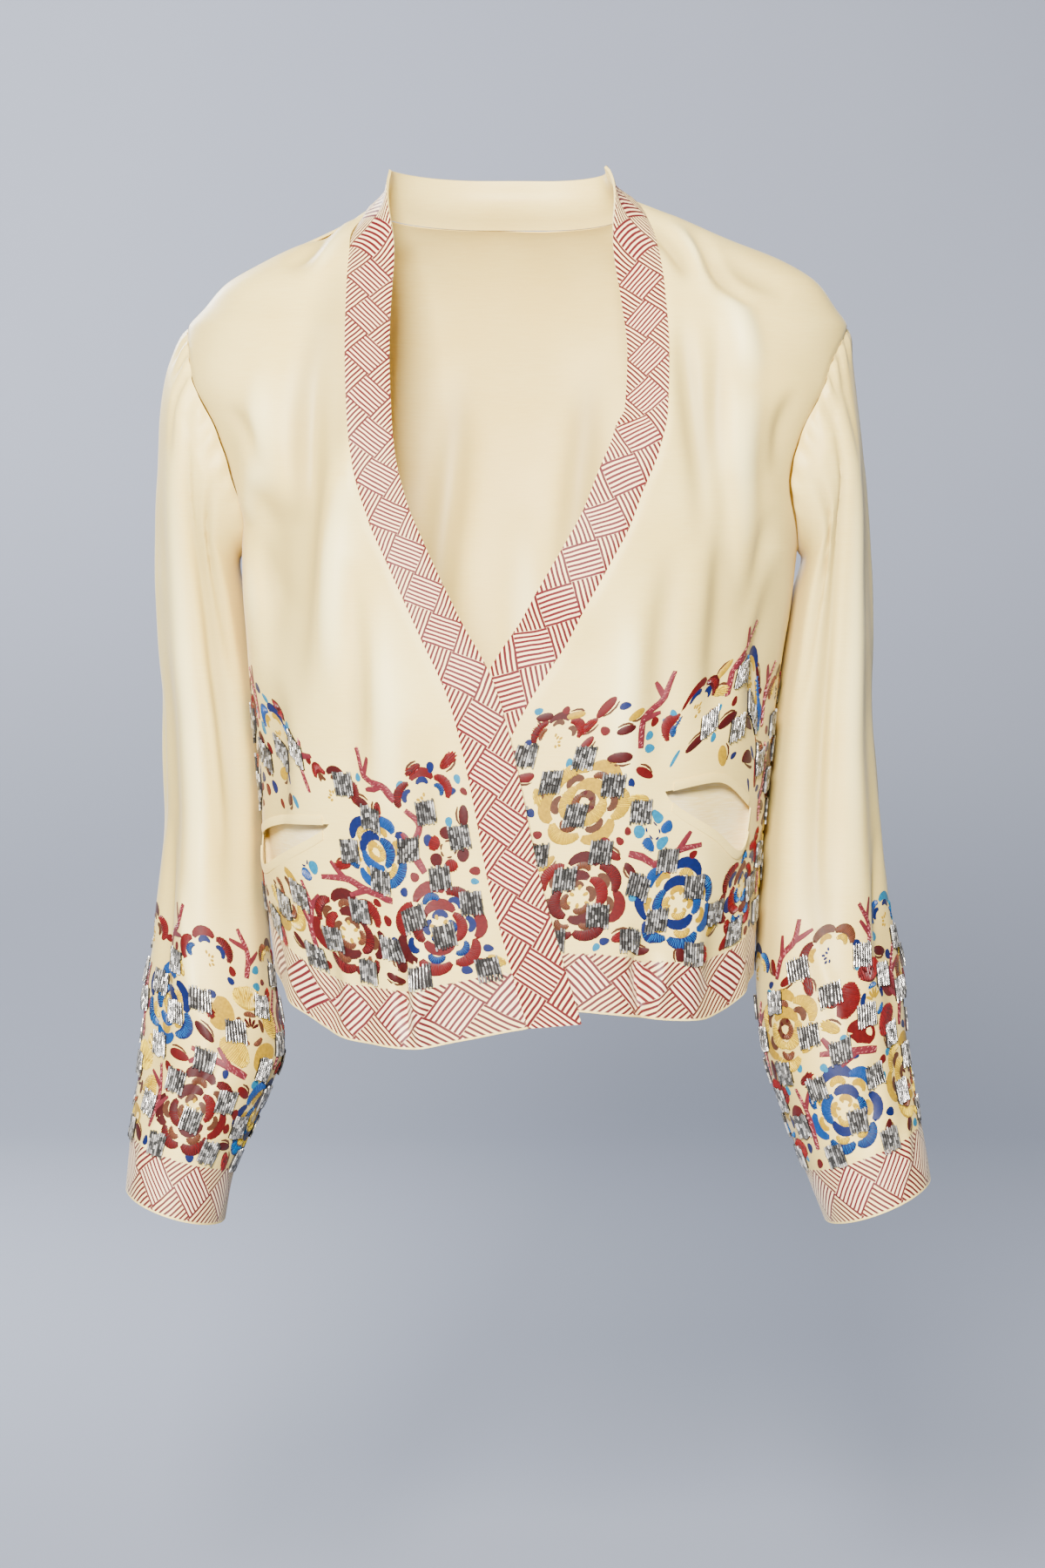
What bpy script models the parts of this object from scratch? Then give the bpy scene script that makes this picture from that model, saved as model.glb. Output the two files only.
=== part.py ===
"""Silk cardigan in its worn, hollow form: panels, sleeves, bands and pockets as thin walls.

Metres, +Z up, the wearer faces -Y, the wearer's right is -X. The origin lies between the shoulders at the neck.
Tables are in millimetres and degrees, a row for each section or fold.
"""
import math
from collections import namedtuple

import bmesh
import bpy
import numpy as np

# Driving dimensions
MM = 0.001
WALL = 0.0015
BAND_WALL = 0.0020
SEAM = 0.0003
NECK_BAND_WIDTH = 0.033
NECK_BOW = 0.006
EDGE_WIDTH = 0.006
EDGE_WALL = 0.0010
UNDERLAP = 0.0075
UNDERLAP_ANGLE = math.radians(30)
UNDERLAP_FADE = math.radians(26)
UNDERLAP_TOP = -0.250
UNDERLAP_EASE = 0.048
FOLD_RADIUS = 0.15
POCKET_DEPTH = 0.011
SQUARENESS = 2.25
ARMHOLE_TOP = -0.081
ARMHOLE_BOTTOM = -0.226
ARMHOLE_FRONT = 0.053
ARMHOLE_BACK = 0.056
BACK_NECK_DROP = -0.012
NECK_RISE = {-1: -0.003, 1: 0.003}
BAND_STAND = 0.050
BAND_HEM_SLANT = 0.007

# Mesh divisions
LOW_ROWS = 16
ARM_ROWS = 14
FRONT_COLUMNS = 16
BACK_COLUMNS = 28
SLEEVE_ROWS = 21
BAND_COLUMNS = 2
SHOULDER_COLUMNS = 8
NECK_COLUMNS = BACK_COLUMNS - 2 * SHOULDER_COLUMNS
ARM_SHARE = LOW_ROWS / (LOW_ROWS + ARM_ROWS)
SHOULDER_SHARE = 2 * SHOULDER_COLUMNS / BACK_COLUMNS
CHEST_SHARE = 0.8
CHEST_HEIGHT = -0.085
HEM_SHARE = 0.30
SLANT_SHARE = 0.12
NECK_ROUNDING = 1.1
CAP_ROWS = 2.0
LIP_ROWS = 4.0
LIP_PUFF = 0.10

# Body sections: height, sideways centre, half width, depth to the front, depth to the back
Ring = namedtuple("Ring", "z centre half_width front back")
BODY_RINGS = [
    Ring(-545, 0.0, 158.0, 127, 117),
    Ring(-493, -1.0, 161.0, 126, 115),
    Ring(-441, -3.0, 165.0, 126, 113),
    Ring(-383, -1.5, 168.5, 127, 112),
    Ring(-325, -1.0, 174.0, 128, 111),
    Ring(-267, 2.0, 180.0, 127, 111),
    Ring(-212, 4.0, 184.0, 123, 112),
    Ring(-178, -3.0, 195.0, 118, 112),
    Ring(-150, -4.0, 208.0, 112, 111),
    Ring(-115, -4.0, 224.0, 100, 107),
    Ring(-81, 1.5, 218.5, 85, 100),
    Ring(-67, 3.5, 207.5, 77, 96),
    Ring(-52, 4.5, 195.5, 68, 90),
    Ring(-38, 6.0, 173.0, 57, 82),
    Ring(-23, 4.0, 139.0, 43, 70),
    Ring(-9, 1.0, 108.0, 27, 54),
    Ring(0, -5.0, 91.0, 16, 46),
    Ring(8, -7.0, 80.0, 8, 40),
]

# Seam between a front and its band: height, sideways place; -1 is the wearer's right front
EdgePoint = namedtuple("EdgePoint", "z x")
FRONT_EDGE = {
    -1: [
        EdgePoint(-560, 17), EdgePoint(-529, 8), EdgePoint(-491, -3), EdgePoint(-433, -18),
        EdgePoint(-389, -26), EdgePoint(-351, -34), EdgePoint(-321, -42), EdgePoint(-274, -63),
        EdgePoint(-230, -83), EdgePoint(-208, -93), EdgePoint(-186, -100), EdgePoint(-169, -104),
        EdgePoint(-141, -107), EdgePoint(-85, -109), EdgePoint(-25, -108), EdgePoint(-3, -99),
    ],
    1: [
        EdgePoint(-560, -46), EdgePoint(-529, -40), EdgePoint(-491, -32), EdgePoint(-433, -22),
        EdgePoint(-389, -14), EdgePoint(-345, -3), EdgePoint(-312, 15), EdgePoint(-288, 31),
        EdgePoint(-263, 44), EdgePoint(-238, 58), EdgePoint(-214, 71), EdgePoint(-186, 82),
        EdgePoint(-164, 91), EdgePoint(-136, 97), EdgePoint(-96, 98), EdgePoint(-56, 96),
        EdgePoint(-20, 91), EdgePoint(3, 82),
    ],
}

# Hem height across a front, from its band (0) to the side seam (1), and across half the back
HemPoint = namedtuple("HemPoint", "share z")
FRONT_HEM = {
    -1: [
        HemPoint(0.00, -529), HemPoint(0.13, -537), HemPoint(0.27, -543), HemPoint(0.40, -542),
        HemPoint(0.51, -538), HemPoint(0.61, -529), HemPoint(0.73, -518), HemPoint(0.84, -507), HemPoint(1.00, -502),
    ],
    1: [
        HemPoint(0.00, -522), HemPoint(0.22, -519), HemPoint(0.30, -521), HemPoint(0.49, -527),
        HemPoint(0.58, -528), HemPoint(0.68, -524), HemPoint(0.77, -515), HemPoint(0.86, -509), HemPoint(1.00, -506),
    ],
}
BACK_HEM = -514

# Large folds of the body: a ridge (height above 0) or trough from a top to a bottom place on the form
Fold = namedtuple("Fold", "phi_top z_top phi_bottom z_bottom width height")
FALLING_FOLDS = [
    Fold(-18, -340, -21, -545, 15, 4.0),
    Fold(-32, -390, -35, -545, 13, -4.0),
    Fold(-60, -440, -63, -545, 15, 4.0),
    Fold(28, -430, 29, -545, 10, -5.0),
    Fold(46, -350, 42, -545, 18, 4.0),
    Fold(66, -430, 66, -545, 13, 4.0),
    Fold(108, -300, 112, -545, 20, 5.0),
    Fold(128, -350, 129, -545, 17, -4.0),
    Fold(149, -250, 152, -545, 22, 6.0),
    Fold(174, -330, 177, -545, 20, -5.0),
    Fold(203, -280, 198, -545, 22, 6.0),
    Fold(227, -350, 224, -545, 18, -4.0),
    Fold(250, -310, 247, -545, 20, 5.0),
]
SHORT_FOLDS = [
    Fold(-44, -90, -47, -330, 17, 4.0),
    Fold(-58, -130, -62, -340, 15, -3.5),
    Fold(37, -90, 46, -270, 16, 4.0),
    Fold(50, -130, 56, -320, 15, -3.5),
    Fold(120, -90, 108, -300, 22, -5.0),
    Fold(146, -110, 138, -330, 24, 4.0),
    Fold(214, -110, 222, -330, 24, 4.0),
    Fold(240, -90, 252, -300, 22, -5.0),
]

# Sleeve sections from the armhole (row 0) to the cuff: the outer and the inner point, the middle and half the depth
Cut = namedtuple("Cut", "outer_x outer_z inner_x inner_z middle_y half_depth")
SLEEVE_CUTS = {
    -1: [
        Cut(-217, -81, -180, -226, 2, 55),
        Cut(-231, -110, -184, -234, 4, 59),
        Cut(-237, -154, -183, -244, 11, 61),
        Cut(-240, -212, -180, -259, 22, 62),
        Cut(-240, -284, -175, -302, 34, 62),
        Cut(-238, -342, -171, -347, 38, 61),
        Cut(-237, -400, -168, -399, 36, 60),
        Cut(-242, -458, -168, -451, 28, 58),
        Cut(-248, -520, -163, -513, 16, 57),
        Cut(-252, -565, -156, -558, 4, 56),
        Cut(-256, -600, -174, -607, -5, 55),
        Cut(-259, -628, -189, -644, -9, 54),
        Cut(-261, -652, -195, -674, -12, 53),
    ],
    1: [
        Cut(219, -81, 188, -226, 2, 55),
        Cut(224, -110, 192, -234, 4, 59),
        Cut(230, -154, 189, -244, 11, 61),
        Cut(235, -212, 184, -259, 22, 62),
        Cut(239, -284, 176, -302, 34, 62),
        Cut(242, -342, 170, -347, 38, 61),
        Cut(247, -400, 165, -399, 36, 60),
        Cut(252, -458, 163, -451, 28, 58),
        Cut(260, -512, 162, -508, 16, 57),
        Cut(264, -566, 165, -553, 4, 56),
        Cut(270, -600, 180, -603, -5, 55),
        Cut(275, -626, 195, -644, -9, 54),
        Cut(278, -645, 207, -674, -12, 53),
    ],
}

# Long sleeve folds: angle round the sleeve (0 outer, 90 front) and section row at both ends, width in degrees, height
Crease = namedtuple("Crease", "turn_top row_top turn_bottom row_bottom width height")
SLEEVE_CREASES = {
    -1: [
        Crease(62, 0.8, 82, 8.5, 17, 5.0),
        Crease(92, 1.0, 118, 7.5, 15, -6.0),
        Crease(36, 3.5, 48, 10.5, 16, -4.5),
        Crease(118, 2.0, 140, 9.0, 14, 3.5),
        Crease(285, 1.0, 262, 8.0, 18, 5.0),
        Crease(255, 2.0, 236, 8.5, 15, -5.0),
        Crease(318, 4.0, 306, 11.0, 16, -4.0),
    ],
    1: [
        Crease(54, 0.8, 66, 7.5, 16, 5.0),
        Crease(84, 1.0, 104, 8.5, 16, -6.5),
        Crease(112, 2.0, 130, 9.0, 14, 3.5),
        Crease(30, 4.0, 42, 11.0, 15, -4.0),
        Crease(290, 1.0, 268, 8.0, 18, 5.0),
        Crease(258, 2.0, 240, 8.5, 15, -5.0),
        Crease(322, 4.0, 304, 11.0, 16, -4.0),
    ],
}

# Pocket mouths: first and last column, bow of the upper lip between heights, gape and bag size in rows
Pocket = namedtuple("Pocket", "first last z_first z_middle z_last gape bag_rows bag_first bag_last")
POCKETS = {
    -1: Pocket(7, 15, -401, -403, -414, 25, 5, 6, 15.7),
    1: Pocket(6, 12, -379, -374, -394, 38, 5, 5, 13.0),
}
MOUTH_ROWS_UP = 1

# Lean of the standing neck band towards the neck for each unit of rise
NECK_LEAN = {-1: 0.58, 0: 0.22, 1: 0.88}

# Front bands by height: finished width, and turn towards the chest in degrees
BandCut = namedtuple("BandCut", "z width turn")
BAND_CUTS = {
    -1: [
        BandCut(-560, 34.0, 0), BandCut(-440, 33.0, 0), BandCut(-390, 32.0, 0), BandCut(-345, 31.5, 3),
        BandCut(-312, 30.5, 10), BandCut(-285, 28.5, 20), BandCut(-230, 27.0, 22), BandCut(-150, 28.5, 20),
        BandCut(-80, 29.0, 18), BandCut(-40, 30.0, 10), BandCut(-3, 31.0, 0),
    ],
    1: [
        BandCut(-560, 34.0, 14), BandCut(-312, 34.0, 18), BandCut(-285, 33.0, 14), BandCut(-230, 31.5, 10),
        BandCut(-155, 31.0, 14), BandCut(-136, 28.0, 22), BandCut(-96, 27.5, 24), BandCut(-70, 28.5, 20),
        BandCut(-40, 30.0, 12), BandCut(3, 31.0, 0),
    ],
}

# Colours
SILK = (0.86, 0.76, 0.56, 1.0)
PRINT = (0.84, 0.58, 0.52, 1.0)


def smooth(t):
    t = np.clip(t, 0.0, 1.0)
    return t * t * (3.0 - 2.0 * t)


def curve(xs, ys):
    """Smooth curve through the rows of a table that never overshoots them."""
    xs = np.asarray(xs, float)
    ys = np.asarray(ys, float)
    step = np.diff(xs)
    slope = np.diff(ys) / step
    tangent = np.zeros_like(ys)
    tangent[0] = slope[0]
    tangent[-1] = slope[-1]
    for i in range(1, len(xs) - 1):
        if slope[i - 1] * slope[i] > 0:
            first = 2 * step[i] + step[i - 1]
            second = step[i] + 2 * step[i - 1]
            tangent[i] = (first + second) / (first / slope[i - 1] + second / slope[i])

    def value(x):
        x = np.clip(np.asarray(x, float), xs[0], xs[-1])
        i = np.clip(np.searchsorted(xs, x, side="right") - 1, 0, len(step) - 1)
        t = (x - xs[i]) / step[i]
        a = (1 + 2 * t) * (1 - t) ** 2
        b = t * (1 - t) ** 2
        c = t * t * (3 - 2 * t)
        d = t * t * (t - 1)
        return a * ys[i] + b * step[i] * tangent[i] + c * ys[i + 1] + d * step[i] * tangent[i + 1]

    return value


def column(rows, x_name, y_name, scale=MM, x_scale=MM):
    return curve([getattr(r, x_name) * x_scale for r in rows], [getattr(r, y_name) * scale for r in rows])


ring_centre = column(BODY_RINGS, "z", "centre")
ring_width = column(BODY_RINGS, "z", "half_width")
ring_front = column(BODY_RINGS, "z", "front")
ring_back = column(BODY_RINGS, "z", "back")
band_width = {side: column(rows, "z", "width") for side, rows in BAND_CUTS.items()}
band_turn = {side: column(rows, "z", "turn", 1.0) for side, rows in BAND_CUTS.items()}
edge_x = {side: column(rows, "z", "x") for side, rows in FRONT_EDGE.items()}
hem_z = {side: column(rows, "share", "z", MM, 1.0) for side, rows in FRONT_HEM.items()}


def unit(vectors):
    return vectors / np.maximum(np.linalg.norm(vectors, axis=-1, keepdims=True), 1e-12)


def form(phi, z):
    """Point of the plain body form; phi runs from the front (0) to the wearer's left (90) and the back (180)."""
    s = np.sin(phi)
    c = np.cos(phi)
    power = 2.0 / SQUARENESS
    x = ring_centre(z) + ring_width(z) * np.sign(s) * np.abs(s) ** power
    depth = np.where(c > 0, -ring_front(z), ring_back(z))
    y = depth * np.abs(c) ** power
    return np.stack([x, y, z + 0.0 * x], axis=-1)


def form_normal(phi, z):
    turn = 0.02
    rise = 0.004
    along = form(phi + turn, z) - form(phi - turn, z)
    up = form(phi, z + rise) - form(phi, z - rise)
    return unit(np.cross(along, up))


def phi_of_x(x, z):
    ratio = np.clip((x - ring_centre(z)) / ring_width(z), -1.0, 1.0)
    return np.arcsin(np.sign(ratio) * np.abs(ratio) ** (SQUARENESS / 2.0))


def phi_of_y(y, z, side):
    depth = np.where(y < 0, ring_front(z), ring_back(z))
    cosine = np.clip(np.abs(y) / depth, 0.0, 1.0) ** (SQUARENESS / 2.0)
    angle = np.arccos(cosine)
    angle = np.where(y < 0, angle, math.pi - angle)
    return angle * side


def fold_height(phi, z):
    """Height of all large folds of the body at places of the form."""
    total = np.zeros_like(z)
    degrees = np.degrees(phi)
    for fold, falling in [(f, True) for f in FALLING_FOLDS] + [(f, False) for f in SHORT_FOLDS]:
        share = (fold.z_top * MM - z) / ((fold.z_top - fold.z_bottom) * MM)
        line = fold.phi_top + (fold.phi_bottom - fold.phi_top) * np.clip(share, 0, 1)
        away = np.radians(degrees - line) * FOLD_RADIUS / (fold.width * MM)
        if falling:
            reach = smooth(share / 0.8)
        else:
            reach = np.sin(math.pi * np.clip(share, 0, 1)) ** 1.5
        total = total + fold.height * MM * np.exp(-away ** 2) * reach
    return total


def under_drop(phi, z, side):
    """The wearer's left front dips where the right front lies over it."""
    if side < 0:
        return np.zeros_like(z)
    near = smooth((UNDERLAP_ANGLE - phi) / UNDERLAP_FADE)
    low = smooth((UNDERLAP_TOP - z) / UNDERLAP_EASE)
    return UNDERLAP * near * low


def body_surface(phi, z, side):
    lift = fold_height(phi, z) - under_drop(phi, z, side)
    return form(phi, z) + form_normal(phi, z) * lift[..., None]


def armhole(side, turn):
    """Place on the body form of the armhole seam; turn 0 is the shoulder, pi the underarm."""
    middle = (ARMHOLE_TOP + ARMHOLE_BOTTOM) / 2
    half = (ARMHOLE_TOP - ARMHOLE_BOTTOM) / 2
    z = middle + half * np.cos(turn)
    s = np.sin(turn)
    y = np.where(s > 0, -ARMHOLE_FRONT, -ARMHOLE_BACK) * s
    return phi_of_y(y, z, side), z


def panel_rows():
    return np.linspace(0.0, 1.0, LOW_ROWS + ARM_ROWS + 1)


def outer_edge(side, v, hem, facing):
    """Side seam and then the armhole, as places on the form; facing 1 front, -1 back."""
    low = np.clip(v / ARM_SHARE, 0, 1)
    high = np.clip((v - ARM_SHARE) / (1 - ARM_SHARE), 0, 1)
    phi_hole, z_hole = armhole(side, facing * math.pi * (1 - high))
    z_side = hem + (ARMHOLE_BOTTOM - hem) * low
    above = v > ARM_SHARE
    phi = np.where(above, phi_hole, side * math.pi / 2)
    return phi, np.where(above, z_hole, z_side)


def front_places(side, u, v):
    """Angle and height on the form for shares across (0 band, 1 side) and up a front."""
    hem = hem_z[side]
    z_low = hem(0.0)
    inner = curve([0.0, ARM_SHARE, CHEST_SHARE, 1.0], [z_low, ARMHOLE_BOTTOM, CHEST_HEIGHT, NECK_RISE[side]])
    z_in = inner(v)
    phi_in = phi_of_x(edge_x[side](z_in), z_in)
    phi_in = np.where(v >= 1.0, side * math.pi / 2, phi_in)
    phi_out, z_out = outer_edge(side, v, hem(1.0), 1)
    phi = phi_in + (phi_out - phi_in) * u
    z = z_in + (z_out - z_in) * u
    dip = hem(u) - (hem(0.0) + (hem(1.0) - hem(0.0)) * u)
    return phi, z + dip * smooth(1 - v / HEM_SHARE)


def back_places(u, v):
    """Angle and height on the form for shares across (-1 the wearer's right side, 1 left) and up the back."""
    side = np.where(u < 0, -1, 1)
    away = 1 - np.abs(u)
    phi = np.zeros_like(u)
    z = np.zeros_like(u)
    for s in (-1, 1):
        phi_out, z_out = outer_edge(s, v, hem_z[s](1.0), -1)
        middle = curve([0.0, ARM_SHARE, 1.0], [BACK_HEM * MM, ARMHOLE_BOTTOM, BACK_NECK_DROP])
        z_mid = middle(v)
        seam = np.clip(away / SHOULDER_SHARE, 0, 1)
        round_neck = np.clip((away - SHOULDER_SHARE) / (1 - SHOULDER_SHARE), 0, 1)
        top_z = ARMHOLE_TOP + (NECK_RISE[s] - ARMHOLE_TOP) * seam
        top_z = top_z + (BACK_NECK_DROP - NECK_RISE[s]) * smooth(round_neck * NECK_ROUNDING)
        rise = (top_z - ARMHOLE_TOP) / (BACK_NECK_DROP - ARMHOLE_TOP)
        mix = smooth((v - ARM_SHARE) / (1 - ARM_SHARE)) ** 1.3
        side_phi = np.abs(phi_out) + (math.pi - np.abs(phi_out)) * (away + (round_neck - away) * mix)
        side_z = z_out + (z_mid - z_out) * (away + (rise - away) * mix)
        here = side == s
        phi = np.where(here, side_phi if s > 0 else 2 * math.pi - side_phi, phi)
        z = np.where(here, side_z, z)
    return phi, z


def neck_places(s):
    """Back neck seam from the wearer's right (-1) to the left (1)."""
    away = 1 - np.abs(s)
    rise = np.where(s < 0, NECK_RISE[-1], NECK_RISE[1])
    z = rise + (BACK_NECK_DROP - rise) * smooth(away * NECK_ROUNDING)
    turn = math.pi / 2 * (1 + away)
    return np.where(s < 0, 2 * math.pi - turn, turn), z


def sleeve_surface(side, turn, row):
    """Point of a sleeve; row counts sections from the armhole, turn 0 outer, 90 degrees front."""
    cuts = SLEEVE_CUTS[side]
    rows = np.arange(len(cuts))

    def at(name):
        return curve(rows, [getattr(c, name) * MM for c in cuts])(row)

    def plain(r_outer_x, r_outer_z, r_inner_x, r_inner_z, middle, depth):
        c = np.cos(turn)
        x = (r_outer_x + r_inner_x) / 2 + c * (r_outer_x - r_inner_x) / 2
        z = (r_outer_z + r_inner_z) / 2 + c * (r_outer_z - r_inner_z) / 2
        y = middle - depth * np.sin(turn)
        return np.stack([x, y, z], axis=-1)

    point = plain(*(at(n) for n in Cut._fields))
    first = plain(*(getattr(cuts[0], n) * MM for n in Cut._fields))
    phi_hole, z_hole = armhole(side, np.where(turn > math.pi, turn - 2 * math.pi, turn))
    phi_hole = np.where(phi_hole < -math.pi / 2 - 1e-9, phi_hole + 2 * math.pi, phi_hole)
    hole = body_surface(phi_hole, z_hole, side)
    fade = (1 - smooth(row / CAP_ROWS))[..., None]
    return point + (hole - first) * fade


def sleeve_normal(side, turn, row):
    along = sleeve_surface(side, turn + 0.03, row) - sleeve_surface(side, turn - 0.03, row)
    low = np.clip(row + 0.1, 0, len(SLEEVE_CUTS[side]) - 1)
    high = np.clip(row - 0.1, 0, len(SLEEVE_CUTS[side]) - 1)
    down = sleeve_surface(side, turn, low) - sleeve_surface(side, turn, high)
    return unit(np.cross(along, down)) * side


def sleeve_fold_height(side, turn, row):
    total = np.zeros_like(row)
    degrees = np.degrees(turn)
    for crease in SLEEVE_CREASES[side]:
        share = np.clip((row - crease.row_top) / (crease.row_bottom - crease.row_top), 0, 1)
        line = crease.turn_top + (crease.turn_bottom - crease.turn_top) * share
        away = (degrees - line + 180) % 360 - 180
        total = total + crease.height * MM * np.exp(-(away / crease.width) ** 2) * np.sin(math.pi * share) ** 0.8
    return total


def draw_in(points, first_column=0.0, last_column=0.0, first_row=0.0, last_row=0.0):
    """Move the edge points of a grid towards their neighbours, to leave the space of a seam."""
    out = points.copy()
    if first_column:
        out[:, 0] += unit(points[:, 1] - points[:, 0]) * first_column
    if last_column:
        out[:, -1] += unit(points[:, -2] - points[:, -1]) * last_column
    if first_row:
        out[0] += unit(out[1] - out[0]) * first_row
    if last_row:
        out[-1] += unit(out[-2] - out[-1]) * last_row
    return out


def material(name, colour):
    mat = bpy.data.materials.new(name)
    mat.use_nodes = True
    shader = mat.node_tree.nodes["Principled BSDF"]
    shader.inputs["Base Color"].default_value = colour
    shader.inputs["Roughness"].default_value = 0.45
    return mat


def thicken(name, points, normals, quads, thickness, colour):
    """Closed wall: the outer sheet, the same sheet moved in along the normals, and a rim round every open edge."""
    count = len(points)
    outer = np.asarray(points)
    inner = outer - np.asarray(normals) * thickness
    used = {}
    for quad in quads:
        for a, b in zip(quad, quad[1:] + quad[:1]):
            key = (min(a, b), max(a, b))
            used.setdefault(key, []).append((a, b))
    faces = [tuple(q) for q in quads]
    faces += [tuple(count + i for i in reversed(q)) for q in quads]
    for edges in used.values():
        if len(edges) == 1:
            a, b = edges[0]
            faces.append((b, a, count + a, count + b))
    mesh = bpy.data.meshes.new(name)
    mesh.from_pydata([tuple(p) for p in np.concatenate([outer, inner])], [], faces)
    build = bmesh.new()
    build.from_mesh(mesh)
    loose = [v for v in build.verts if not v.link_faces]
    bmesh.ops.delete(build, geom=loose, context="VERTS")
    bmesh.ops.recalc_face_normals(build, faces=build.faces)
    bmesh.ops.triangulate(build, faces=build.faces)
    build.to_mesh(mesh)
    build.free()
    obj = bpy.data.objects.new(name, mesh)
    bpy.context.scene.collection.objects.link(obj)
    mesh.materials.append(material(name + "_cloth", colour))
    return obj


def grid_quads(rows, columns, wrap=False):
    quads = []
    for j in range(rows - 1):
        for i in range(columns if wrap else columns - 1):
            k = (i + 1) % columns
            quads.append([j * columns + i, j * columns + k, (j + 1) * columns + k, (j + 1) * columns + i])
    return quads


def grid_wall(name, points, normals, thickness, colour, wrap=False):
    rows, columns = points.shape[:2]
    quads = grid_quads(rows, columns, wrap)
    return thicken(name, points.reshape(-1, 3), normals.reshape(-1, 3), quads, thickness, colour)


def mouth_share(t):
    shape = t ** 0.7 * (1 - t ** 6)
    return shape / 0.68


def front_grid(side):
    """Outer points and normals of a front, with its pocket mouth as a second set of points on one row."""
    pocket = POCKETS[side]
    u = np.linspace(0, 1, FRONT_COLUMNS + 1)
    v = panel_rows()
    uu, vv = np.meshgrid(u, v)
    phi, z = front_places(side, uu, vv)
    lip = int(np.argmin(np.abs(z[:LOW_ROWS, pocket.first] - pocket.z_middle * MM)))
    columns = np.arange(FRONT_COLUMNS + 1)
    t = np.clip((columns - pocket.first) / (pocket.last - pocket.first), 0, 1)
    bow = curve([0, 0.45, 1], [pocket.z_first * MM, pocket.z_middle * MM, pocket.z_last * MM])(t)
    inside = smooth((columns - pocket.first + 3) / 3) * smooth((pocket.last + 2 - columns) / 2)
    shift = (bow - z[lip]) * inside
    gape = pocket.gape * MM * mouth_share(t)
    fade_up = np.clip(1 - (np.arange(len(v)) - lip) / LIP_ROWS, 0, 1)
    fade_down = np.clip(1 - (lip - np.arange(len(v))) / LIP_ROWS, 0, 1)
    rows = np.arange(len(v))[:, None]
    plain_z = z + shift * np.where(rows >= lip, fade_up[:, None], fade_down[:, None])
    sag = gape * fade_down[:, None] * (rows < lip)
    panel_z = plain_z - sag
    lower_z = plain_z[lip] - gape
    points = body_surface(phi, panel_z, side)
    normals = form_normal(phi, panel_z)
    below = (rows < lip) * fade_down[:, None] ** 2
    points = points + normals * (gape * LIP_PUFF * below)[..., None]
    lower = body_surface(phi[lip], lower_z, side)
    lower_normal = form_normal(phi[lip], lower_z)
    lower = lower + lower_normal * (gape * LIP_PUFF)[:, None]
    plain = body_surface(phi, plain_z, side)
    return points, normals, lower, lower_normal, plain, lip


def build_front(side, name, colour):
    pocket = POCKETS[side]
    points, normals, lower, lower_normal, plain, lip = front_grid(side)
    points = draw_in(points, SEAM / 2, SEAM / 2, 0.0, SEAM / 2)
    rows, columns = points.shape[:2]
    first, last = pocket.first, pocket.last
    everything = [*points.reshape(-1, 3)]
    directions = [*normals.reshape(-1, 3)]
    second = {}
    for i in range(first + 1, last):
        second[lip * columns + i] = len(everything)
        everything.append(lower[i])
        directions.append(lower_normal[i])
    quads = []
    for quad in grid_quads(rows, columns):
        below_lip = quad[0] // columns == lip - 1
        quads.append([second.get(k, k) if below_lip else k for k in quad])
    thicken(name, np.array(everything), np.array(directions), quads, WALL, colour)
    upper_edge = points[lip, first:last + 1]
    lower_edge = np.concatenate([points[lip:lip + 1, first], lower[first + 1:last], points[lip:lip + 1, last]])
    build_mouth_edges(side, name, points, normals, upper_edge, lower_edge, lip, colour)
    build_bag(side, points, normals, plain, lip, colour)


def build_mouth_edges(side, front, points, normals, upper_edge, lower_edge, lip, colour):
    """Narrow bound edges that lie on the panel along both lips, made from the panel's own points."""
    pocket = POCKETS[side]
    tag = front.replace("front_", "pocket_edge_")
    keep = slice(1, -1)
    for part, edge, row in (("upper", upper_edge, lip + 1), ("lower", lower_edge, lip - 1)):
        beyond = points[row, pocket.first:pocket.last + 1]
        out = normals[row, pocket.first:pocket.last + 1]
        reach = np.linalg.norm(beyond - edge, axis=-1, keepdims=True)
        far = edge + (beyond - edge) * np.minimum(EDGE_WIDTH / reach, 0.9)
        near = edge + (beyond - edge) * np.minimum(SEAM / reach, 0.1)
        sheet = np.stack([near[keep], far[keep]]) + out[keep] * (SEAM + EDGE_WALL)
        direction = np.stack([out[keep], out[keep]])
        grid_wall(tag + "_" + part, sheet, direction, EDGE_WALL, colour)


def build_bag(side, points, normals, plain, lip, colour):
    """Pocket bag: a shallow dish behind the mouth, its rim close to the inside of the panel."""
    pocket = POCKETS[side]
    name = "pocket_bag_right" if side < 0 else "pocket_bag_left"
    low = lip - pocket.bag_rows
    high = lip + MOUTH_ROWS_UP
    places = [c for c in range(pocket.bag_first, FRONT_COLUMNS + 1) if c <= pocket.bag_last]
    if pocket.bag_last > places[-1]:
        places.append(pocket.bag_last)

    def pick(grid, row, place):
        base = int(place)
        share = place - base
        if share == 0:
            return grid[row, base]
        return grid[row, base] * (1 - share) + grid[row, base + 1] * share

    rows = list(range(low, high + 1))
    sheet = np.zeros((len(rows), len(places), 3))
    direction = np.zeros_like(sheet)
    for j, row in enumerate(rows):
        for i, place in enumerate(places):
            rim = j in (0, len(rows) - 1) or i in (0, len(places) - 1)
            source = points if rim else plain
            out = pick(normals, row, place)
            out = out / np.linalg.norm(out)
            a = i / (len(places) - 1)
            b = j / (len(rows) - 1)
            bulge = (math.sin(math.pi * a) * math.sin(math.pi * b)) ** 0.45 if not rim else 0.0
            depth = WALL + SEAM + bulge * POCKET_DEPTH
            sheet[j, i] = pick(source, row, place) - out * depth
            direction[j, i] = out
    grid_wall(name, sheet, direction, WALL, colour)


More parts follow.
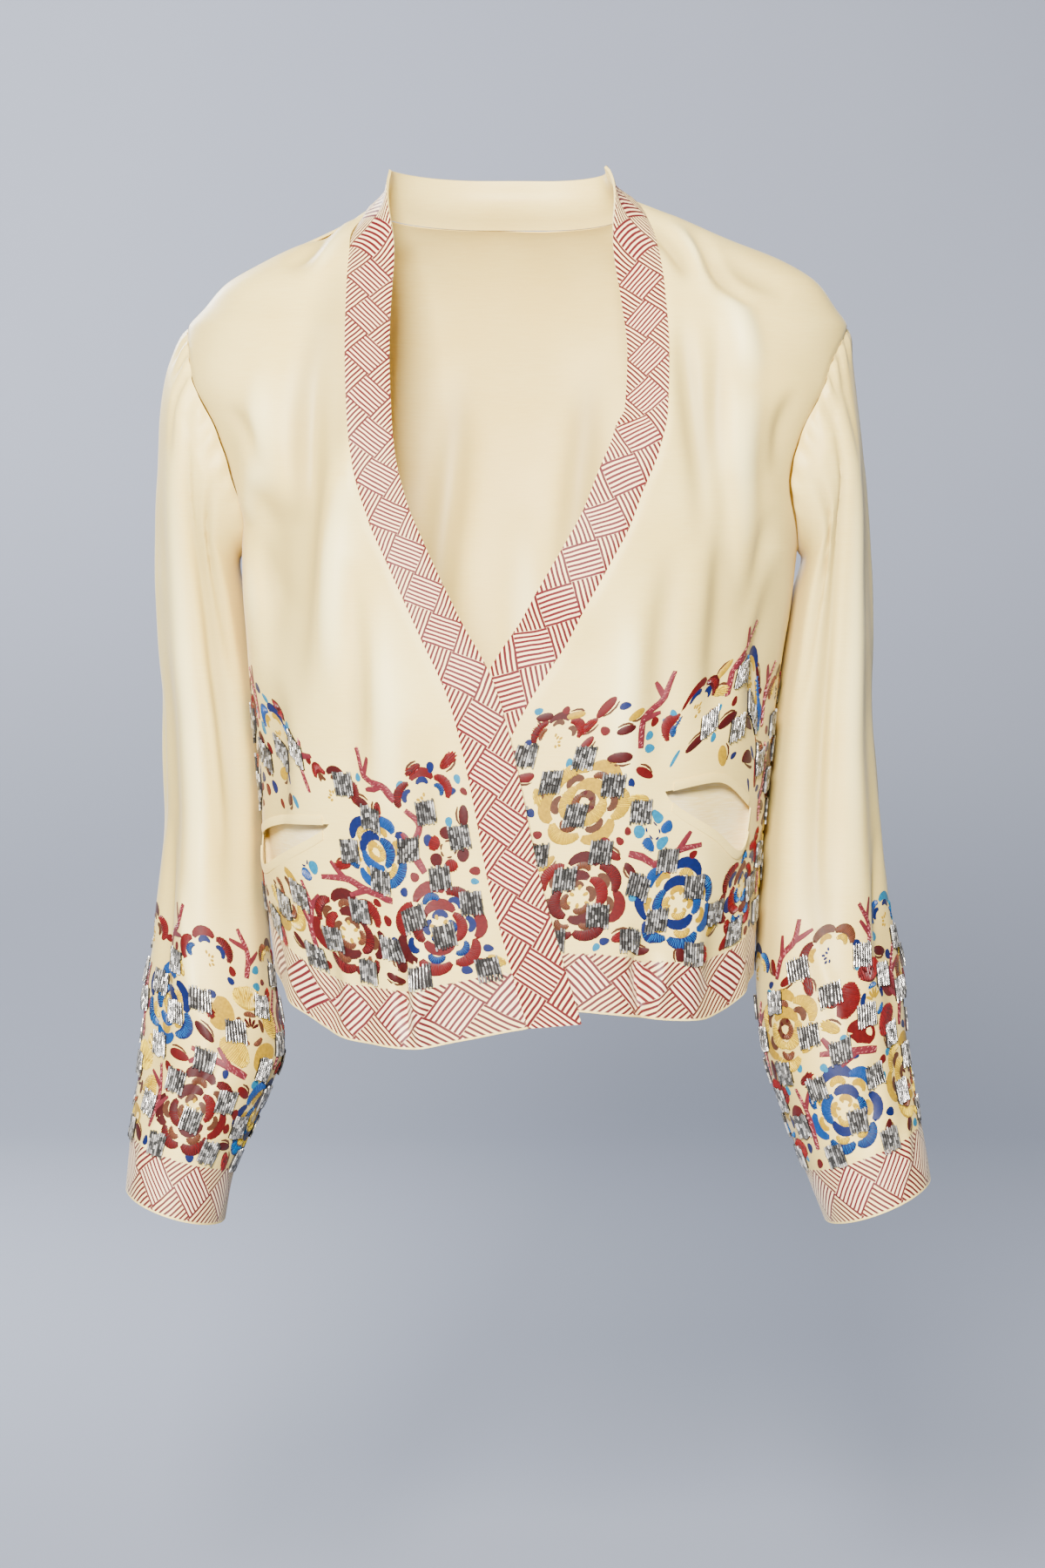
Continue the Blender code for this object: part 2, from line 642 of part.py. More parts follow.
def standing(seam, lean):
    """Directions of a band that stands at the neck: along its width, out from the neck, and in towards it."""
    inward = np.array([ring_centre(0.0), 0.0]) - seam[:, :2]
    inward = unit(inward)
    rise = unit(np.concatenate([inward * lean[:, None], np.ones((len(seam), 1))], axis=-1))
    out = unit(np.concatenate([-inward, lean[:, None]], axis=-1))
    level = np.concatenate([inward, np.zeros((len(seam), 1))], axis=-1)
    return rise, out, level


def band_grid(seam, across, width, bow, shear):
    rows = []
    for step in np.linspace(0, 1, BAND_COLUMNS + 1):
        reach = SEAM / 2 + (width - SEAM / 2) * step
        rows.append(seam + across * reach[:, None] + shear * step + bow * math.sin(math.pi * step))
    return np.stack(rows, axis=1)


def front_band(side):
    """Outer points and normals of a front band from the hem to the shoulder."""
    v = panel_rows()
    phi, z = front_places(side, np.zeros_like(v), v)
    seam = body_surface(phi, z, side)
    normal = form_normal(phi, z)
    along = unit(np.gradient(seam, axis=0))
    lift = smooth((z + BAND_STAND) / BAND_STAND)[:, None]
    flat = unit(np.cross(normal, along)) * side
    turn = np.radians(band_turn[side](z))[:, None]
    flat, flat_out = flat * np.cos(turn) - normal * np.sin(turn), normal * np.cos(turn) + flat * np.sin(turn)
    rise, out, level = standing(seam, np.full(len(v), NECK_LEAN[side]))
    across = unit(flat * (1 - lift) + rise * lift)
    outward = unit(flat_out * (1 - lift) + out * lift)
    shear = along * (-BAND_HEM_SLANT * smooth(1 - v / SLANT_SHARE))[:, None]
    points = band_grid(seam, across, band_width[side](z), level * NECK_BOW * lift, shear)
    normals = np.repeat(outward[:, None], BAND_COLUMNS + 1, axis=1)
    normals[:, 0] = unit(normal * (1 - lift) + out * lift)
    return points, normals


def neck_band():
    s = np.linspace(-1, 1, NECK_COLUMNS + 1)
    phi, z = neck_places(s)
    seam = body_surface(phi, z, 0)
    lean = curve([-1, 0, 1], [NECK_LEAN[-1], NECK_LEAN[0], NECK_LEAN[1]])(s)
    ends = [band_width[-1](NECK_RISE[-1]), NECK_BAND_WIDTH, band_width[1](NECK_RISE[1])]
    rise, out, level = standing(seam, lean)
    points = band_grid(seam, rise, curve([-1, 0, 1], ends)(s), level * NECK_BOW, np.zeros_like(seam))
    return points, np.repeat(out[:, None], BAND_COLUMNS + 1, axis=1)


def build_back():
    u = np.linspace(-1, 1, BACK_COLUMNS + 1)
    uu, vv = np.meshgrid(u, panel_rows())
    phi, z = back_places(uu, vv)
    points = body_surface(phi, z, 0)
    points = draw_in(points, SEAM / 2, SEAM / 2, 0.0, SEAM / 2)
    grid_wall("back", points, form_normal(phi, z), WALL, SILK)


def build_sleeve(side, name):
    turns = np.linspace(0, 2 * math.pi, 2 * ARM_ROWS + 1)[:-1]
    rows = np.linspace(0, 1, SLEEVE_ROWS + 1) ** 1.08 * (len(SLEEVE_CUTS[side]) - 1)
    tt, rr = np.meshgrid(turns, rows)
    normals = sleeve_normal(side, tt, rr)
    points = sleeve_surface(side, tt, rr) + normals * sleeve_fold_height(side, tt, rr)[..., None]
    points = draw_in(points, first_row=SEAM)
    grid_wall(name, points, normals, WALL, SILK, wrap=True)


def main():
    for obj in list(bpy.data.objects):
        bpy.data.objects.remove(obj)
    build_back()
    build_front(-1, "front_right", SILK)
    build_front(1, "front_left", SILK)
    build_sleeve(-1, "sleeve_right")
    build_sleeve(1, "sleeve_left")
    for side, name in ((-1, "front_band_right"), (1, "front_band_left")):
        points, normals = front_band(side)
        grid_wall(name, draw_in(points, last_row=SEAM / 2), normals, BAND_WALL, PRINT)
    points, normals = neck_band()
    grid_wall("neck_band_back", draw_in(points, first_row=SEAM / 2, last_row=SEAM / 2), normals, BAND_WALL, PRINT)


main()
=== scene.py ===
"""Looks of the silk cardigan: fine shells with creases, printed bands, embroidered border and beads.

Metres, +Z up, the wearer faces -Y, the wearer's right is -X. Tables are in millimetres and degrees.
"""
import math
from collections import namedtuple

import bmesh
import bpy
import numpy as np
from mathutils import Matrix, Vector


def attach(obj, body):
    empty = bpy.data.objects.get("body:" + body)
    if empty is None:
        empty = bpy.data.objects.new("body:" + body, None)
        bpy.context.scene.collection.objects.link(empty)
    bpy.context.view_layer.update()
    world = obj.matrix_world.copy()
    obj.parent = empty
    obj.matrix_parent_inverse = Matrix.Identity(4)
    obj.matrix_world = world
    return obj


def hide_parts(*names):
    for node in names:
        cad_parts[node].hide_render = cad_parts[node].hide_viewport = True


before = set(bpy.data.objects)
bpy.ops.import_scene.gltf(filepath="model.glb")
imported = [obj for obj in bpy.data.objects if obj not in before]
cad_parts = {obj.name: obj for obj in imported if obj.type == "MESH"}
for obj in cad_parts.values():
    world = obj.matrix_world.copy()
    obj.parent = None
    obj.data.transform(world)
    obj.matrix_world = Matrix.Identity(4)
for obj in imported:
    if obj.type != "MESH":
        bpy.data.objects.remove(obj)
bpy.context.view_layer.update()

# Driving dimensions of the form
MM = 0.001
NECK_BAND_WIDTH = 0.033
NECK_BOW = 0.006
EDGE_WIDTH = 0.006
UNDERLAP = 0.0075
UNDERLAP_ANGLE = math.radians(30)
UNDERLAP_FADE = math.radians(26)
UNDERLAP_TOP = -0.250
UNDERLAP_EASE = 0.048
FOLD_RADIUS = 0.15
POCKET_DEPTH = 0.011
SQUARENESS = 2.25
ARMHOLE_TOP = -0.081
ARMHOLE_BOTTOM = -0.226
ARMHOLE_FRONT = 0.053
ARMHOLE_BACK = 0.056
BACK_NECK_DROP = -0.012
NECK_RISE = {-1: -0.003, 1: 0.003}
BAND_STAND = 0.050
BAND_HEM_SLANT = 0.007

# Cloth
SILK_WALL = 0.0008
BAND_WALL = 0.0018
SEAM_DIP = 0.0010
SEAM_REACH = 0.0026
CLOTH_CREASE = math.radians(55)
PRINT_CREASE = math.radians(60)
SEWN_CREASE = math.radians(70)
CREASE_DEPTH = 3.3
SLEEVE_CREASE_DEPTH = 2.1
FALL_SHARE = 0.8
FOLD_SWELL = 1.5
CREASE_SWELL = 0.8
WRINKLE_SWELL = 1.1
WRINKLE_SWAY = 0.0025
WRINKLE_WAVES = 5.0
BROAD_RIPPLE = 0.00045
SMALL_RIPPLE = 0.00018
EASE_HEIGHT = 0.0015
EASE_WAVES = 26
EASE_ROW = 0.25
EASE_REACH = 0.35
EASE_TURN = 0.9
FREE_EDGE_ROLL = 0.0007
ROLL_SHARE = 0.1
BAND_SEAM_SHARE = 0.05

# Pockets
LIP_ROWS = 4.0
LIP_PUFF = 0.10
LIP_MIDDLE = 0.45
LIP_EASE_IN = 3
LIP_EASE_OUT = 2
MOUTH_SWELL = 0.7
MOUTH_CLOSE = 6
MOUTH_PEAK = 0.68
BAG_CLEARANCE = 0.0007
BAG_FULLNESS = 0.45
BAG_RIM = 3
EDGE_STEPS = 8
EDGE_OVERHANG = 0.0006
EDGE_REST = 0.0003
EDGE_CROWN = 0.0006

# Painted shade in the hollows of folds and towards the sides and arms, and painted highlight on the ridges
# of folds
FOLD_SHADE_SHARE = 0.7
FOLD_SHADE_DEPTH = 0.0058
ARM_SHADE = 0.0036
UNSHADED_SHARE = 0.4

# Divisions of the sections, and how many steps each is refined into
LOW_ROWS = 16
ARM_ROWS = 14
PANEL_ROWS = LOW_ROWS + ARM_ROWS
FRONT_COLUMNS = 16
BACK_COLUMNS = 28
SHOULDER_COLUMNS = 8
SLEEVE_ROWS = 21
REFINE = 5
SLEEVE_REFINE = 6
TURN_REFINE = 4
BAND_STEPS = 10
ARM_SHARE = LOW_ROWS / PANEL_ROWS
SHOULDER_SHARE = 2 * SHOULDER_COLUMNS / BACK_COLUMNS
CHEST_SHARE = 0.8
CHEST_HEIGHT = -0.085
HEM_SHARE = 0.30
SLANT_SHARE = 0.12
NECK_ROUNDING = 1.1
NECK_BLEND = 1.3
NECK_STEPS = 80
CAP_ROWS = 2.0
CUFF_CROWDING = 1.08

# Prints
BLOCK = 0.0368
HEM_PRINT = 0.0345
HEM_MARGIN = 0.0034
HATCH_LINES = 7.0
BAND_HATCH_SHARE = 0.53
HEM_HATCH_SHARE = 0.48
HATCH_UNSTEADINESS = 0.05
HATCH_SOFTNESS = 0.05
HEM_PRINT_FOOT = (-0.075, -0.055)
HEM_PRINT_TOP = (1.035, 1.05)
RAGGED_TOP = 0.09
HEM_WASH = (0.4, 0.8)
THREADS_PER_METRE = 2600.0
# Share of painted shade in the hollows of folds and of painted highlight on their ridges
PAINTED_SHADE_SHARE = 0.62
PAINTED_HIGHLIGHT_SHARE = 0.8


def table(kind, *rows):
    return [kind(*row) for row in rows]


# Body sections: height, sideways centre, half width, depth to the front, depth to the back
Ring = namedtuple("Ring", "z centre half_width front back")
BODY_RINGS = table(
    Ring, (-545, 0, 158, 127, 117), (-493, -1, 161, 126, 115), (-441, -3, 165, 126, 113),
    (-383, -1.5, 168.5, 127, 112), (-325, -1, 174, 128, 111), (-267, 2, 180, 127, 111),
    (-212, 4, 184, 123, 112), (-178, -3, 195, 118, 112), (-150, -4, 208, 112, 111),
    (-115, -4, 224, 100, 107), (-81, 1.5, 218.5, 85, 100), (-67, 3.5, 207.5, 77, 96),
    (-52, 4.5, 195.5, 68, 90), (-38, 6, 173, 57, 82), (-23, 4, 139, 43, 70), (-9, 1, 108, 27, 54),
    (0, -5, 91, 16, 46), (8, -7, 80, 8, 40))

# Seam between a front and its band: height, sideways place; -1 is the wearer's right front
EdgePoint = namedtuple("EdgePoint", "z x")
FRONT_EDGE = {
    -1: table(
        EdgePoint, (-560, 17), (-529, 8), (-491, -3), (-433, -18), (-389, -26), (-351, -34), (-321, -42),
        (-274, -63), (-230, -83), (-208, -93), (-186, -100), (-169, -104), (-141, -107), (-85, -109),
        (-25, -108), (-3, -99)),
    1: table(
        EdgePoint, (-560, -46), (-529, -40), (-491, -32), (-433, -22), (-389, -14), (-345, -3), (-312, 15),
        (-288, 31), (-263, 44), (-238, 58), (-214, 71), (-186, 82), (-164, 91), (-136, 97), (-96, 98),
        (-56, 96), (-20, 91), (3, 82)),
}

# Hem height across a front, from its band (0) to the side seam (1), and at the middle of the back
HemPoint = namedtuple("HemPoint", "share z")
FRONT_HEM = {
    -1: table(
        HemPoint, (0, -529), (0.13, -537), (0.27, -543), (0.40, -542), (0.51, -538), (0.61, -529),
        (0.73, -518), (0.84, -507), (1, -502)),
    1: table(
        HemPoint, (0, -522), (0.22, -519), (0.30, -521), (0.49, -527), (0.58, -528), (0.68, -524),
        (0.77, -515), (0.86, -509), (1, -506)),
}
BACK_HEM = -514

# Large folds of the body: a ridge (height above 0) or trough from a top to a bottom place on the form
Fold = namedtuple("Fold", "phi_top z_top phi_bottom z_bottom width height")
FALLING_FOLDS = table(
    Fold, (-18, -340, -21, -545, 15, 4), (-32, -390, -35, -545, 13, -4), (-60, -440, -63, -545, 15, 4),
    (28, -430, 29, -545, 10, -5), (46, -350, 42, -545, 18, 4), (66, -430, 66, -545, 13, 4),
    (108, -300, 112, -545, 20, 5), (128, -350, 129, -545, 17, -4), (149, -250, 152, -545, 22, 6),
    (174, -330, 177, -545, 20, -5), (203, -280, 198, -545, 22, 6), (227, -350, 224, -545, 18, -4),
    (250, -310, 247, -545, 20, 5))
SHORT_FOLDS = table(
    Fold, (-44, -90, -47, -330, 17, 4), (-58, -130, -62, -340, 15, -3.5), (37, -90, 46, -270, 16, 4),
    (50, -130, 56, -320, 15, -3.5), (120, -90, 108, -300, 22, -5), (146, -110, 138, -330, 24, 4),
    (214, -110, 222, -330, 24, 4), (240, -90, 252, -300, 22, -5))

# Sleeve sections from the armhole (row 0) to the cuff: outer point, inner point, middle and half the depth
Cut = namedtuple("Cut", "outer_x outer_z inner_x inner_z middle_y half_depth")
SLEEVE_CUTS = {
    -1: table(
        Cut, (-217, -81, -180, -226, 2, 55), (-231, -110, -184, -234, 4, 59),
        (-237, -154, -183, -244, 11, 61), (-240, -212, -180, -259, 22, 62),
        (-240, -284, -175, -302, 34, 62), (-238, -342, -171, -347, 38, 61),
        (-237, -400, -168, -399, 36, 60), (-242, -458, -168, -451, 28, 58),
        (-248, -520, -163, -513, 16, 57), (-252, -565, -156, -558, 4, 56), (-256, -600, -174, -607, -5, 55),
        (-259, -628, -189, -644, -9, 54), (-261, -652, -195, -674, -12, 53)),
    1: table(
        Cut, (219, -81, 188, -226, 2, 55), (224, -110, 192, -234, 4, 59), (230, -154, 189, -244, 11, 61),
        (235, -212, 184, -259, 22, 62), (239, -284, 176, -302, 34, 62), (242, -342, 170, -347, 38, 61),
        (247, -400, 165, -399, 36, 60), (252, -458, 163, -451, 28, 58), (260, -512, 162, -508, 16, 57),
        (264, -566, 165, -553, 4, 56), (270, -600, 180, -603, -5, 55), (275, -626, 195, -644, -9, 54),
        (278, -645, 207, -674, -12, 53)),
}

# Sleeve folds and creases: angle round the sleeve (0 outer, 90 front) and section row at both ends
Crease = namedtuple("Crease", "turn_top row_top turn_bottom row_bottom width height")
SLEEVE_FOLDS = {
    -1: table(
        Crease, (62, 0.8, 82, 8.5, 17, 5), (92, 1, 118, 7.5, 15, -6), (36, 3.5, 48, 10.5, 16, -4.5),
        (118, 2, 140, 9, 14, 3.5), (285, 1, 262, 8, 18, 5), (255, 2, 236, 8.5, 15, -5),
        (318, 4, 306, 11, 16, -4)),
    1: table(
        Crease, (54, 0.8, 66, 7.5, 16, 5), (84, 1, 104, 8.5, 16, -6.5), (112, 2, 130, 9, 14, 3.5),
        (30, 4, 42, 11, 15, -4), (290, 1, 268, 8, 18, 5), (258, 2, 240, 8.5, 15, -5),
        (322, 4, 304, 11, 16, -4)),
}
SLEEVE_CREASES = {
    -1: table(
        Crease, (70, 0.3, 96, 3.6, 5, -1.6), (104, 0.6, 126, 4.4, 5, -2), (84, 2.4, 108, 6.6, 6, 1.5),
        (48, 0.2, 58, 1.8, 5, -0.9), (28, 6, 52, 8.6, 7, -1.3), (60, 6.8, 96, 8.8, 6, 1.2),
        (110, 8.4, 70, 10.2, 7, -1.6), (62, 9.6, 40, 11.4, 6, 1), (250, 0.5, 232, 4.6, 6, -2),
        (276, 1.6, 250, 6.4, 6, 1.6), (236, 6, 292, 8, 7, -1.8), (222, 7.2, 270, 9.2, 7, 1.5),
        (300, 8.6, 262, 11, 7, -1.4), (346, 1.6, 372, 6.4, 9, -1.7), (20, 2.4, -20, 7.4, 8, 1.5),
        (318, 5.6, 368, 7.6, 7, -1.9), (304, 6.8, 388, 8.6, 7, 1.5), (334, 8, 374, 10.4, 7, -1.6)),
    1: table(
        Crease, (62, 0.3, 86, 3.2, 5, -1.6), (98, 0.6, 120, 4.8, 5, -2.1), (76, 2.8, 94, 7, 6, 1.5),
        (40, 0.2, 50, 2, 5, -0.9), (24, 6.2, 58, 8.4, 7, -1.3), (112, 7.2, 78, 9, 6, 1.3),
        (58, 8.8, 92, 10.6, 7, -1.5), (36, 9.8, 64, 11.5, 6, 1), (254, 0.5, 236, 4.4, 6, -2),
        (280, 1.8, 252, 6.6, 6, 1.6), (232, 6.2, 288, 8.2, 7, -1.8), (226, 7.6, 274, 9.4, 7, 1.5),
        (296, 8.8, 258, 11.2, 7, -1.4), (342, 1.8, 366, 6.8, 9, -1.7), (16, 2.2, -24, 7, 8, 1.5),
        (314, 5.4, 364, 7.4, 7, -1.9), (300, 6.6, 384, 8.4, 7, 1.5), (330, 8.2, 378, 10.6, 7, -1.6)),
}

# Smaller creases of the fronts and the back, seen from the front or back: places, width, height
Wrinkle = namedtuple("Wrinkle", "x_top z_top x_bottom z_bottom width height")
FRONT_WRINKLES = {
    -1: table(
        Wrinkle, (-100, -12, -140, -54, 6, 1.3), (-112, -12, -152, -44, 5, -1.2),
        (-106, -30, -118, -190, 9, -1.8), (-120, -36, -146, -345, 12, -3.6),
        (-108, -150, -118, -330, 11, 1.6), (-164, -96, -170, -330, 9, 1.9),
        (-186, -130, -160, -176, 6, -1.2), (-178, -196, -146, -270, 8, -1.4),
        (-92, -240, -78, -420, 13, 1.6), (-104, -230, -98, -390, 8, -1.8),
        (-160, -300, -150, -430, 8, -1.8), (-66, -330, -52, -470, 10, -1.2),
        (-70, -468, -68, -548, 4, -2.6), (-58, -486, -60, -548, 6, 1.8), (-118, -470, -122, -546, 7, -1.6)),
    1: table(
        Wrinkle, (84, -8, 117, -52, 6, -2.6), (96, -8, 130, -60, 6, 1.8), (112, -18, 150, -72, 6, -2.4),
        (132, -30, 176, -66, 7, -1.3), (128, -44, 158, -120, 9, 1.7), (108, -66, 120, -230, 9, -2.2),
        (124, -70, 140, -220, 8, -1.8), (140, -176, 124, -350, 11, -2.8), (150, -110, 150, -290, 9, 1.7),
        (168, -226, 156, -360, 8, -2.2), (182, -120, 164, -180, 6, -1.2), (170, -196, 140, -290, 8, -1.4),
        (74, -250, 70, -400, 12, 1.5), (100, -220, 88, -370, 9, -1.6), (82, -470, 79, -532, 4, -2.4),
        (92, -480, 90, -532, 6, 1.6), (128, -452, 126, -530, 8, -1.4)),
}
BACK_WRINKLES = table(
    Wrinkle, (-70, -12, -120, -60, 8, -1.8), (64, -12, 112, -58, 8, -1.8), (-96, -60, -130, -180, 11, 2),
    (92, -60, 126, -170, 11, 2), (-176, -150, -120, -250, 10, -2.4), (174, -150, 116, -250, 10, -2.4),
    (-168, -190, -96, -300, 9, 1.8), (166, -190, 100, -310, 9, 1.8), (-40, -90, -56, -330, 13, -2.6),
    (48, -90, 38, -310, 13, -2.6), (8, -200, 2, -450, 12, 2.2), (-84, -170, -100, -430, 12, 2.4),
    (88, -180, 98, -440, 12, 2.4), (-112, -210, -126, -470, 9, -2.6), (116, -230, 124, -460, 9, -2.6),
    (-84, -330, -74, -514, 8, -2.2), (66, -320, 74, -514, 8, -2.2), (24, -300, 30, -480, 9, -1.8),
    (-20, -380, -24, -514, 7, 1.8))

# Pocket mouths: first and last column, bow of the upper lip between heights, gape and bag size in rows
Pocket = namedtuple("Pocket", "first last z_first z_middle z_last gape bag_rows bag_first bag_last")
POCKETS = {
    -1: Pocket(7, 15, -401, -403, -414, 25, 5, 6, 15.7),
    1: Pocket(6, 12, -379, -374, -394, 38, 5, 5, 13.0),
}

# Lean of the standing neck band towards the neck for each unit of rise
NECK_LEAN = {-1: 0.58, 0: 0.22, 1: 0.88}

# Front bands by height: finished width, and turn towards the chest in degrees
BandCut = namedtuple("BandCut", "z width turn")
BAND_CUTS = {
    -1: table(
        BandCut, (-560, 34, 0), (-440, 33, 0), (-390, 32, 0), (-345, 31.5, 3), (-312, 30.5, 10),
        (-285, 28.5, 20), (-230, 27, 22), (-150, 28.5, 20), (-80, 29, 18), (-40, 30, 10), (-3, 31, 0)),
    1: table(
        BandCut, (-560, 34, 14), (-312, 34, 18), (-285, 33, 14), (-230, 31.5, 10), (-155, 31, 14),
        (-136, 28, 22), (-96, 27.5, 24), (-70, 28.5, 20), (-40, 30, 12), (3, 31, 0)),
}


def srgb(red, green, blue):
    """Colour as seen, 0 to 255, as the linear values that a shader takes."""
    return tuple(((c / 255 + 0.055) / 1.055) ** 2.4 for c in (red, green, blue)) + (1.0,)


DYE_FLOOR = 0.12
DYE_RISE = 0.54
DYE_STRENGTH = 1.40


def dye_colour(red, green, blue):
    """Colour of a dye, deepened so that the bright studio light leaves it as seen; dark dyes most of all."""
    colour = np.array(srgb(red, green, blue)[:3])
    grey = colour.mean()
    strong = np.maximum(grey + (colour - grey) * DYE_STRENGTH, 0.002)
    return (*(strong * (DYE_FLOOR + DYE_RISE * grey)), 1.0)


# Dyes of the print, and of threads that differ from the print beneath them
DYES = {
    "navy": dye_colour(42, 66, 140),
    "blue": dye_colour(38, 112, 186),
    "sky": dye_colour(92, 168, 206),
    "gold": srgb(156, 122, 6),
    "wine": dye_colour(122, 14, 28),
    "brick": dye_colour(156, 38, 38),
    "brown": dye_colour(140, 92, 70),
    "rose": dye_colour(172, 86, 94),
    "blush": dye_colour(226, 150, 150),
    # Painted shadow under the bead squares
    "shadow": dye_colour(58, 48, 42),
}
THREADS = {
    "navy": dye_colour(40, 144, 212),
    "gold": srgb(200, 170, 30),
    "wine": dye_colour(178, 32, 48),
    "brick": dye_colour(184, 48, 46),
    "brown": dye_colour(178, 112, 88),
}
CREAM = srgb(238, 214, 130)
CREAM_DEEP = srgb(230, 201, 112)
# Painted shade mixed into the cream in the hollows of folds, painted highlight on their ridges
PAINTED_SHADE_CREAM = srgb(178, 156, 88)
PAINTED_HIGHLIGHT_CREAM = srgb(252, 236, 168)
# Paler cream of the pocket bag: painted light on the shaded inside of the pocket
POCKET_PAINTED_LIGHT_CREAM = srgb(250, 236, 192)
BAND_GROUND = srgb(250, 222, 158)
BLOCK_GROUND = srgb(251, 216, 164)
HEM_GROUND = srgb(252, 222, 182)
BAND_INK = srgb(88, 18, 25)
EDGE_INK = srgb(84, 18, 23)


def smooth(t):
    t = np.clip(t, 0.0, 1.0)
    return t * t * (3.0 - 2.0 * t)


def curve(xs, ys):
    """Smooth curve through the rows of a table that never overshoots them."""
    xs = np.asarray(xs, float)
    ys = np.asarray(ys, float)
    step = np.diff(xs)
    slope = np.diff(ys) / step
    tangent = np.zeros_like(ys)
    tangent[0] = slope[0]
    tangent[-1] = slope[-1]
    for i in range(1, len(xs) - 1):
        if slope[i - 1] * slope[i] > 0:
            first = 2 * step[i] + step[i - 1]
            second = step[i] + 2 * step[i - 1]
            tangent[i] = (first + second) / (first / slope[i - 1] + second / slope[i])

    def value(x):
        x = np.clip(np.asarray(x, float), xs[0], xs[-1])
        i = np.clip(np.searchsorted(xs, x, side="right") - 1, 0, len(step) - 1)
        t = (x - xs[i]) / step[i]
        a = (1 + 2 * t) * (1 - t) ** 2
        b = t * (1 - t) ** 2
        c = t * t * (3 - 2 * t)
        d = t * t * (t - 1)
        return a * ys[i] + b * step[i] * tangent[i] + c * ys[i + 1] + d * step[i] * tangent[i + 1]

    return value


def column(rows, x_name, y_name, scale=MM, x_scale=MM):
    return curve([getattr(r, x_name) * x_scale for r in rows], [getattr(r, y_name) * scale for r in rows])


ring_centre = column(BODY_RINGS, "z", "centre")
ring_width = column(BODY_RINGS, "z", "half_width")
ring_front = column(BODY_RINGS, "z", "front")
ring_back = column(BODY_RINGS, "z", "back")
band_width = {side: column(rows, "z", "width") for side, rows in BAND_CUTS.items()}
band_turn = {side: column(rows, "z", "turn", 1.0) for side, rows in BAND_CUTS.items()}
edge_x = {side: column(rows, "z", "x") for side, rows in FRONT_EDGE.items()}
hem_z = {side: column(rows, "share", "z", MM, 1.0) for side, rows in FRONT_HEM.items()}


def unit(vectors):
    return vectors / np.maximum(np.linalg.norm(vectors, axis=-1, keepdims=True), 1e-12)


def form(phi, z):
    """Point of the plain body form; phi is 0 at the front, 90 at the wearer's left, 180 at the back."""
    s = np.sin(phi)
    c = np.cos(phi)
    power = 2.0 / SQUARENESS
    x = ring_centre(z) + ring_width(z) * np.sign(s) * np.abs(s) ** power
    depth = np.where(c > 0, -ring_front(z), ring_back(z))
    y = depth * np.abs(c) ** power
    return np.stack([x, y, z + 0.0 * x], axis=-1)


def form_normal(phi, z):
    turn = 0.02
    rise = 0.004
    along = form(phi + turn, z) - form(phi - turn, z)
    up = form(phi, z + rise) - form(phi, z - rise)
    return unit(np.cross(along, up))


def phi_of_x(x, z):
    ratio = np.clip((x - ring_centre(z)) / ring_width(z), -1.0, 1.0)
    return np.arcsin(np.sign(ratio) * np.abs(ratio) ** (SQUARENESS / 2.0))


def phi_of_y(y, z, side):
    depth = np.where(y < 0, ring_front(z), ring_back(z))
    cosine = np.clip(np.abs(y) / depth, 0.0, 1.0) ** (SQUARENESS / 2.0)
    angle = np.arccos(cosine)
    angle = np.where(y < 0, angle, math.pi - angle)
    return angle * side


def fold_height(phi, z):
    """Height of all large folds of the body at places of the form."""
    total = np.zeros_like(z)
    degrees = np.degrees(phi)
    for fold, falling in [(f, True) for f in FALLING_FOLDS] + [(f, False) for f in SHORT_FOLDS]:
        share = (fold.z_top * MM - z) / ((fold.z_top - fold.z_bottom) * MM)
        line = fold.phi_top + (fold.phi_bottom - fold.phi_top) * np.clip(share, 0, 1)
        away = np.radians(degrees - line) * FOLD_RADIUS / (fold.width * MM)
        if falling:
            reach = smooth(share / FALL_SHARE)
        else:
            reach = np.sin(math.pi * np.clip(share, 0, 1)) ** FOLD_SWELL
        total = total + fold.height * MM * np.exp(-away ** 2) * reach
    return total


def under_drop(phi, z, side):
    """The wearer's left front dips where the right front lies over it."""
    if side < 0:
        return np.zeros_like(z)
    near = smooth((UNDERLAP_ANGLE - phi) / UNDERLAP_FADE)
    low = smooth((UNDERLAP_TOP - z) / UNDERLAP_EASE)
    return UNDERLAP * near * low


def body_surface(phi, z, side):
    lift = fold_height(phi, z) - under_drop(phi, z, side)
    return form(phi, z) + form_normal(phi, z) * lift[..., None]


def armhole(side, turn):
    """Place on the body form of the armhole seam; turn 0 is the shoulder, pi the underarm."""
    middle = (ARMHOLE_TOP + ARMHOLE_BOTTOM) / 2
    half = (ARMHOLE_TOP - ARMHOLE_BOTTOM) / 2
    z = middle + half * np.cos(turn)
    s = np.sin(turn)
    y = np.where(s > 0, -ARMHOLE_FRONT, -ARMHOLE_BACK) * s
    return phi_of_y(y, z, side), z


def outer_edge(side, v, hem, facing):
    """Side seam and then the armhole, as places on the form; facing 1 front, -1 back."""
    low = np.clip(v / ARM_SHARE, 0, 1)
    high = np.clip((v - ARM_SHARE) / (1 - ARM_SHARE), 0, 1)
    phi_hole, z_hole = armhole(side, facing * math.pi * (1 - high))
    z_side = hem + (ARMHOLE_BOTTOM - hem) * low
    above = v > ARM_SHARE
    phi = np.where(above, phi_hole, side * math.pi / 2)
    return phi, np.where(above, z_hole, z_side)


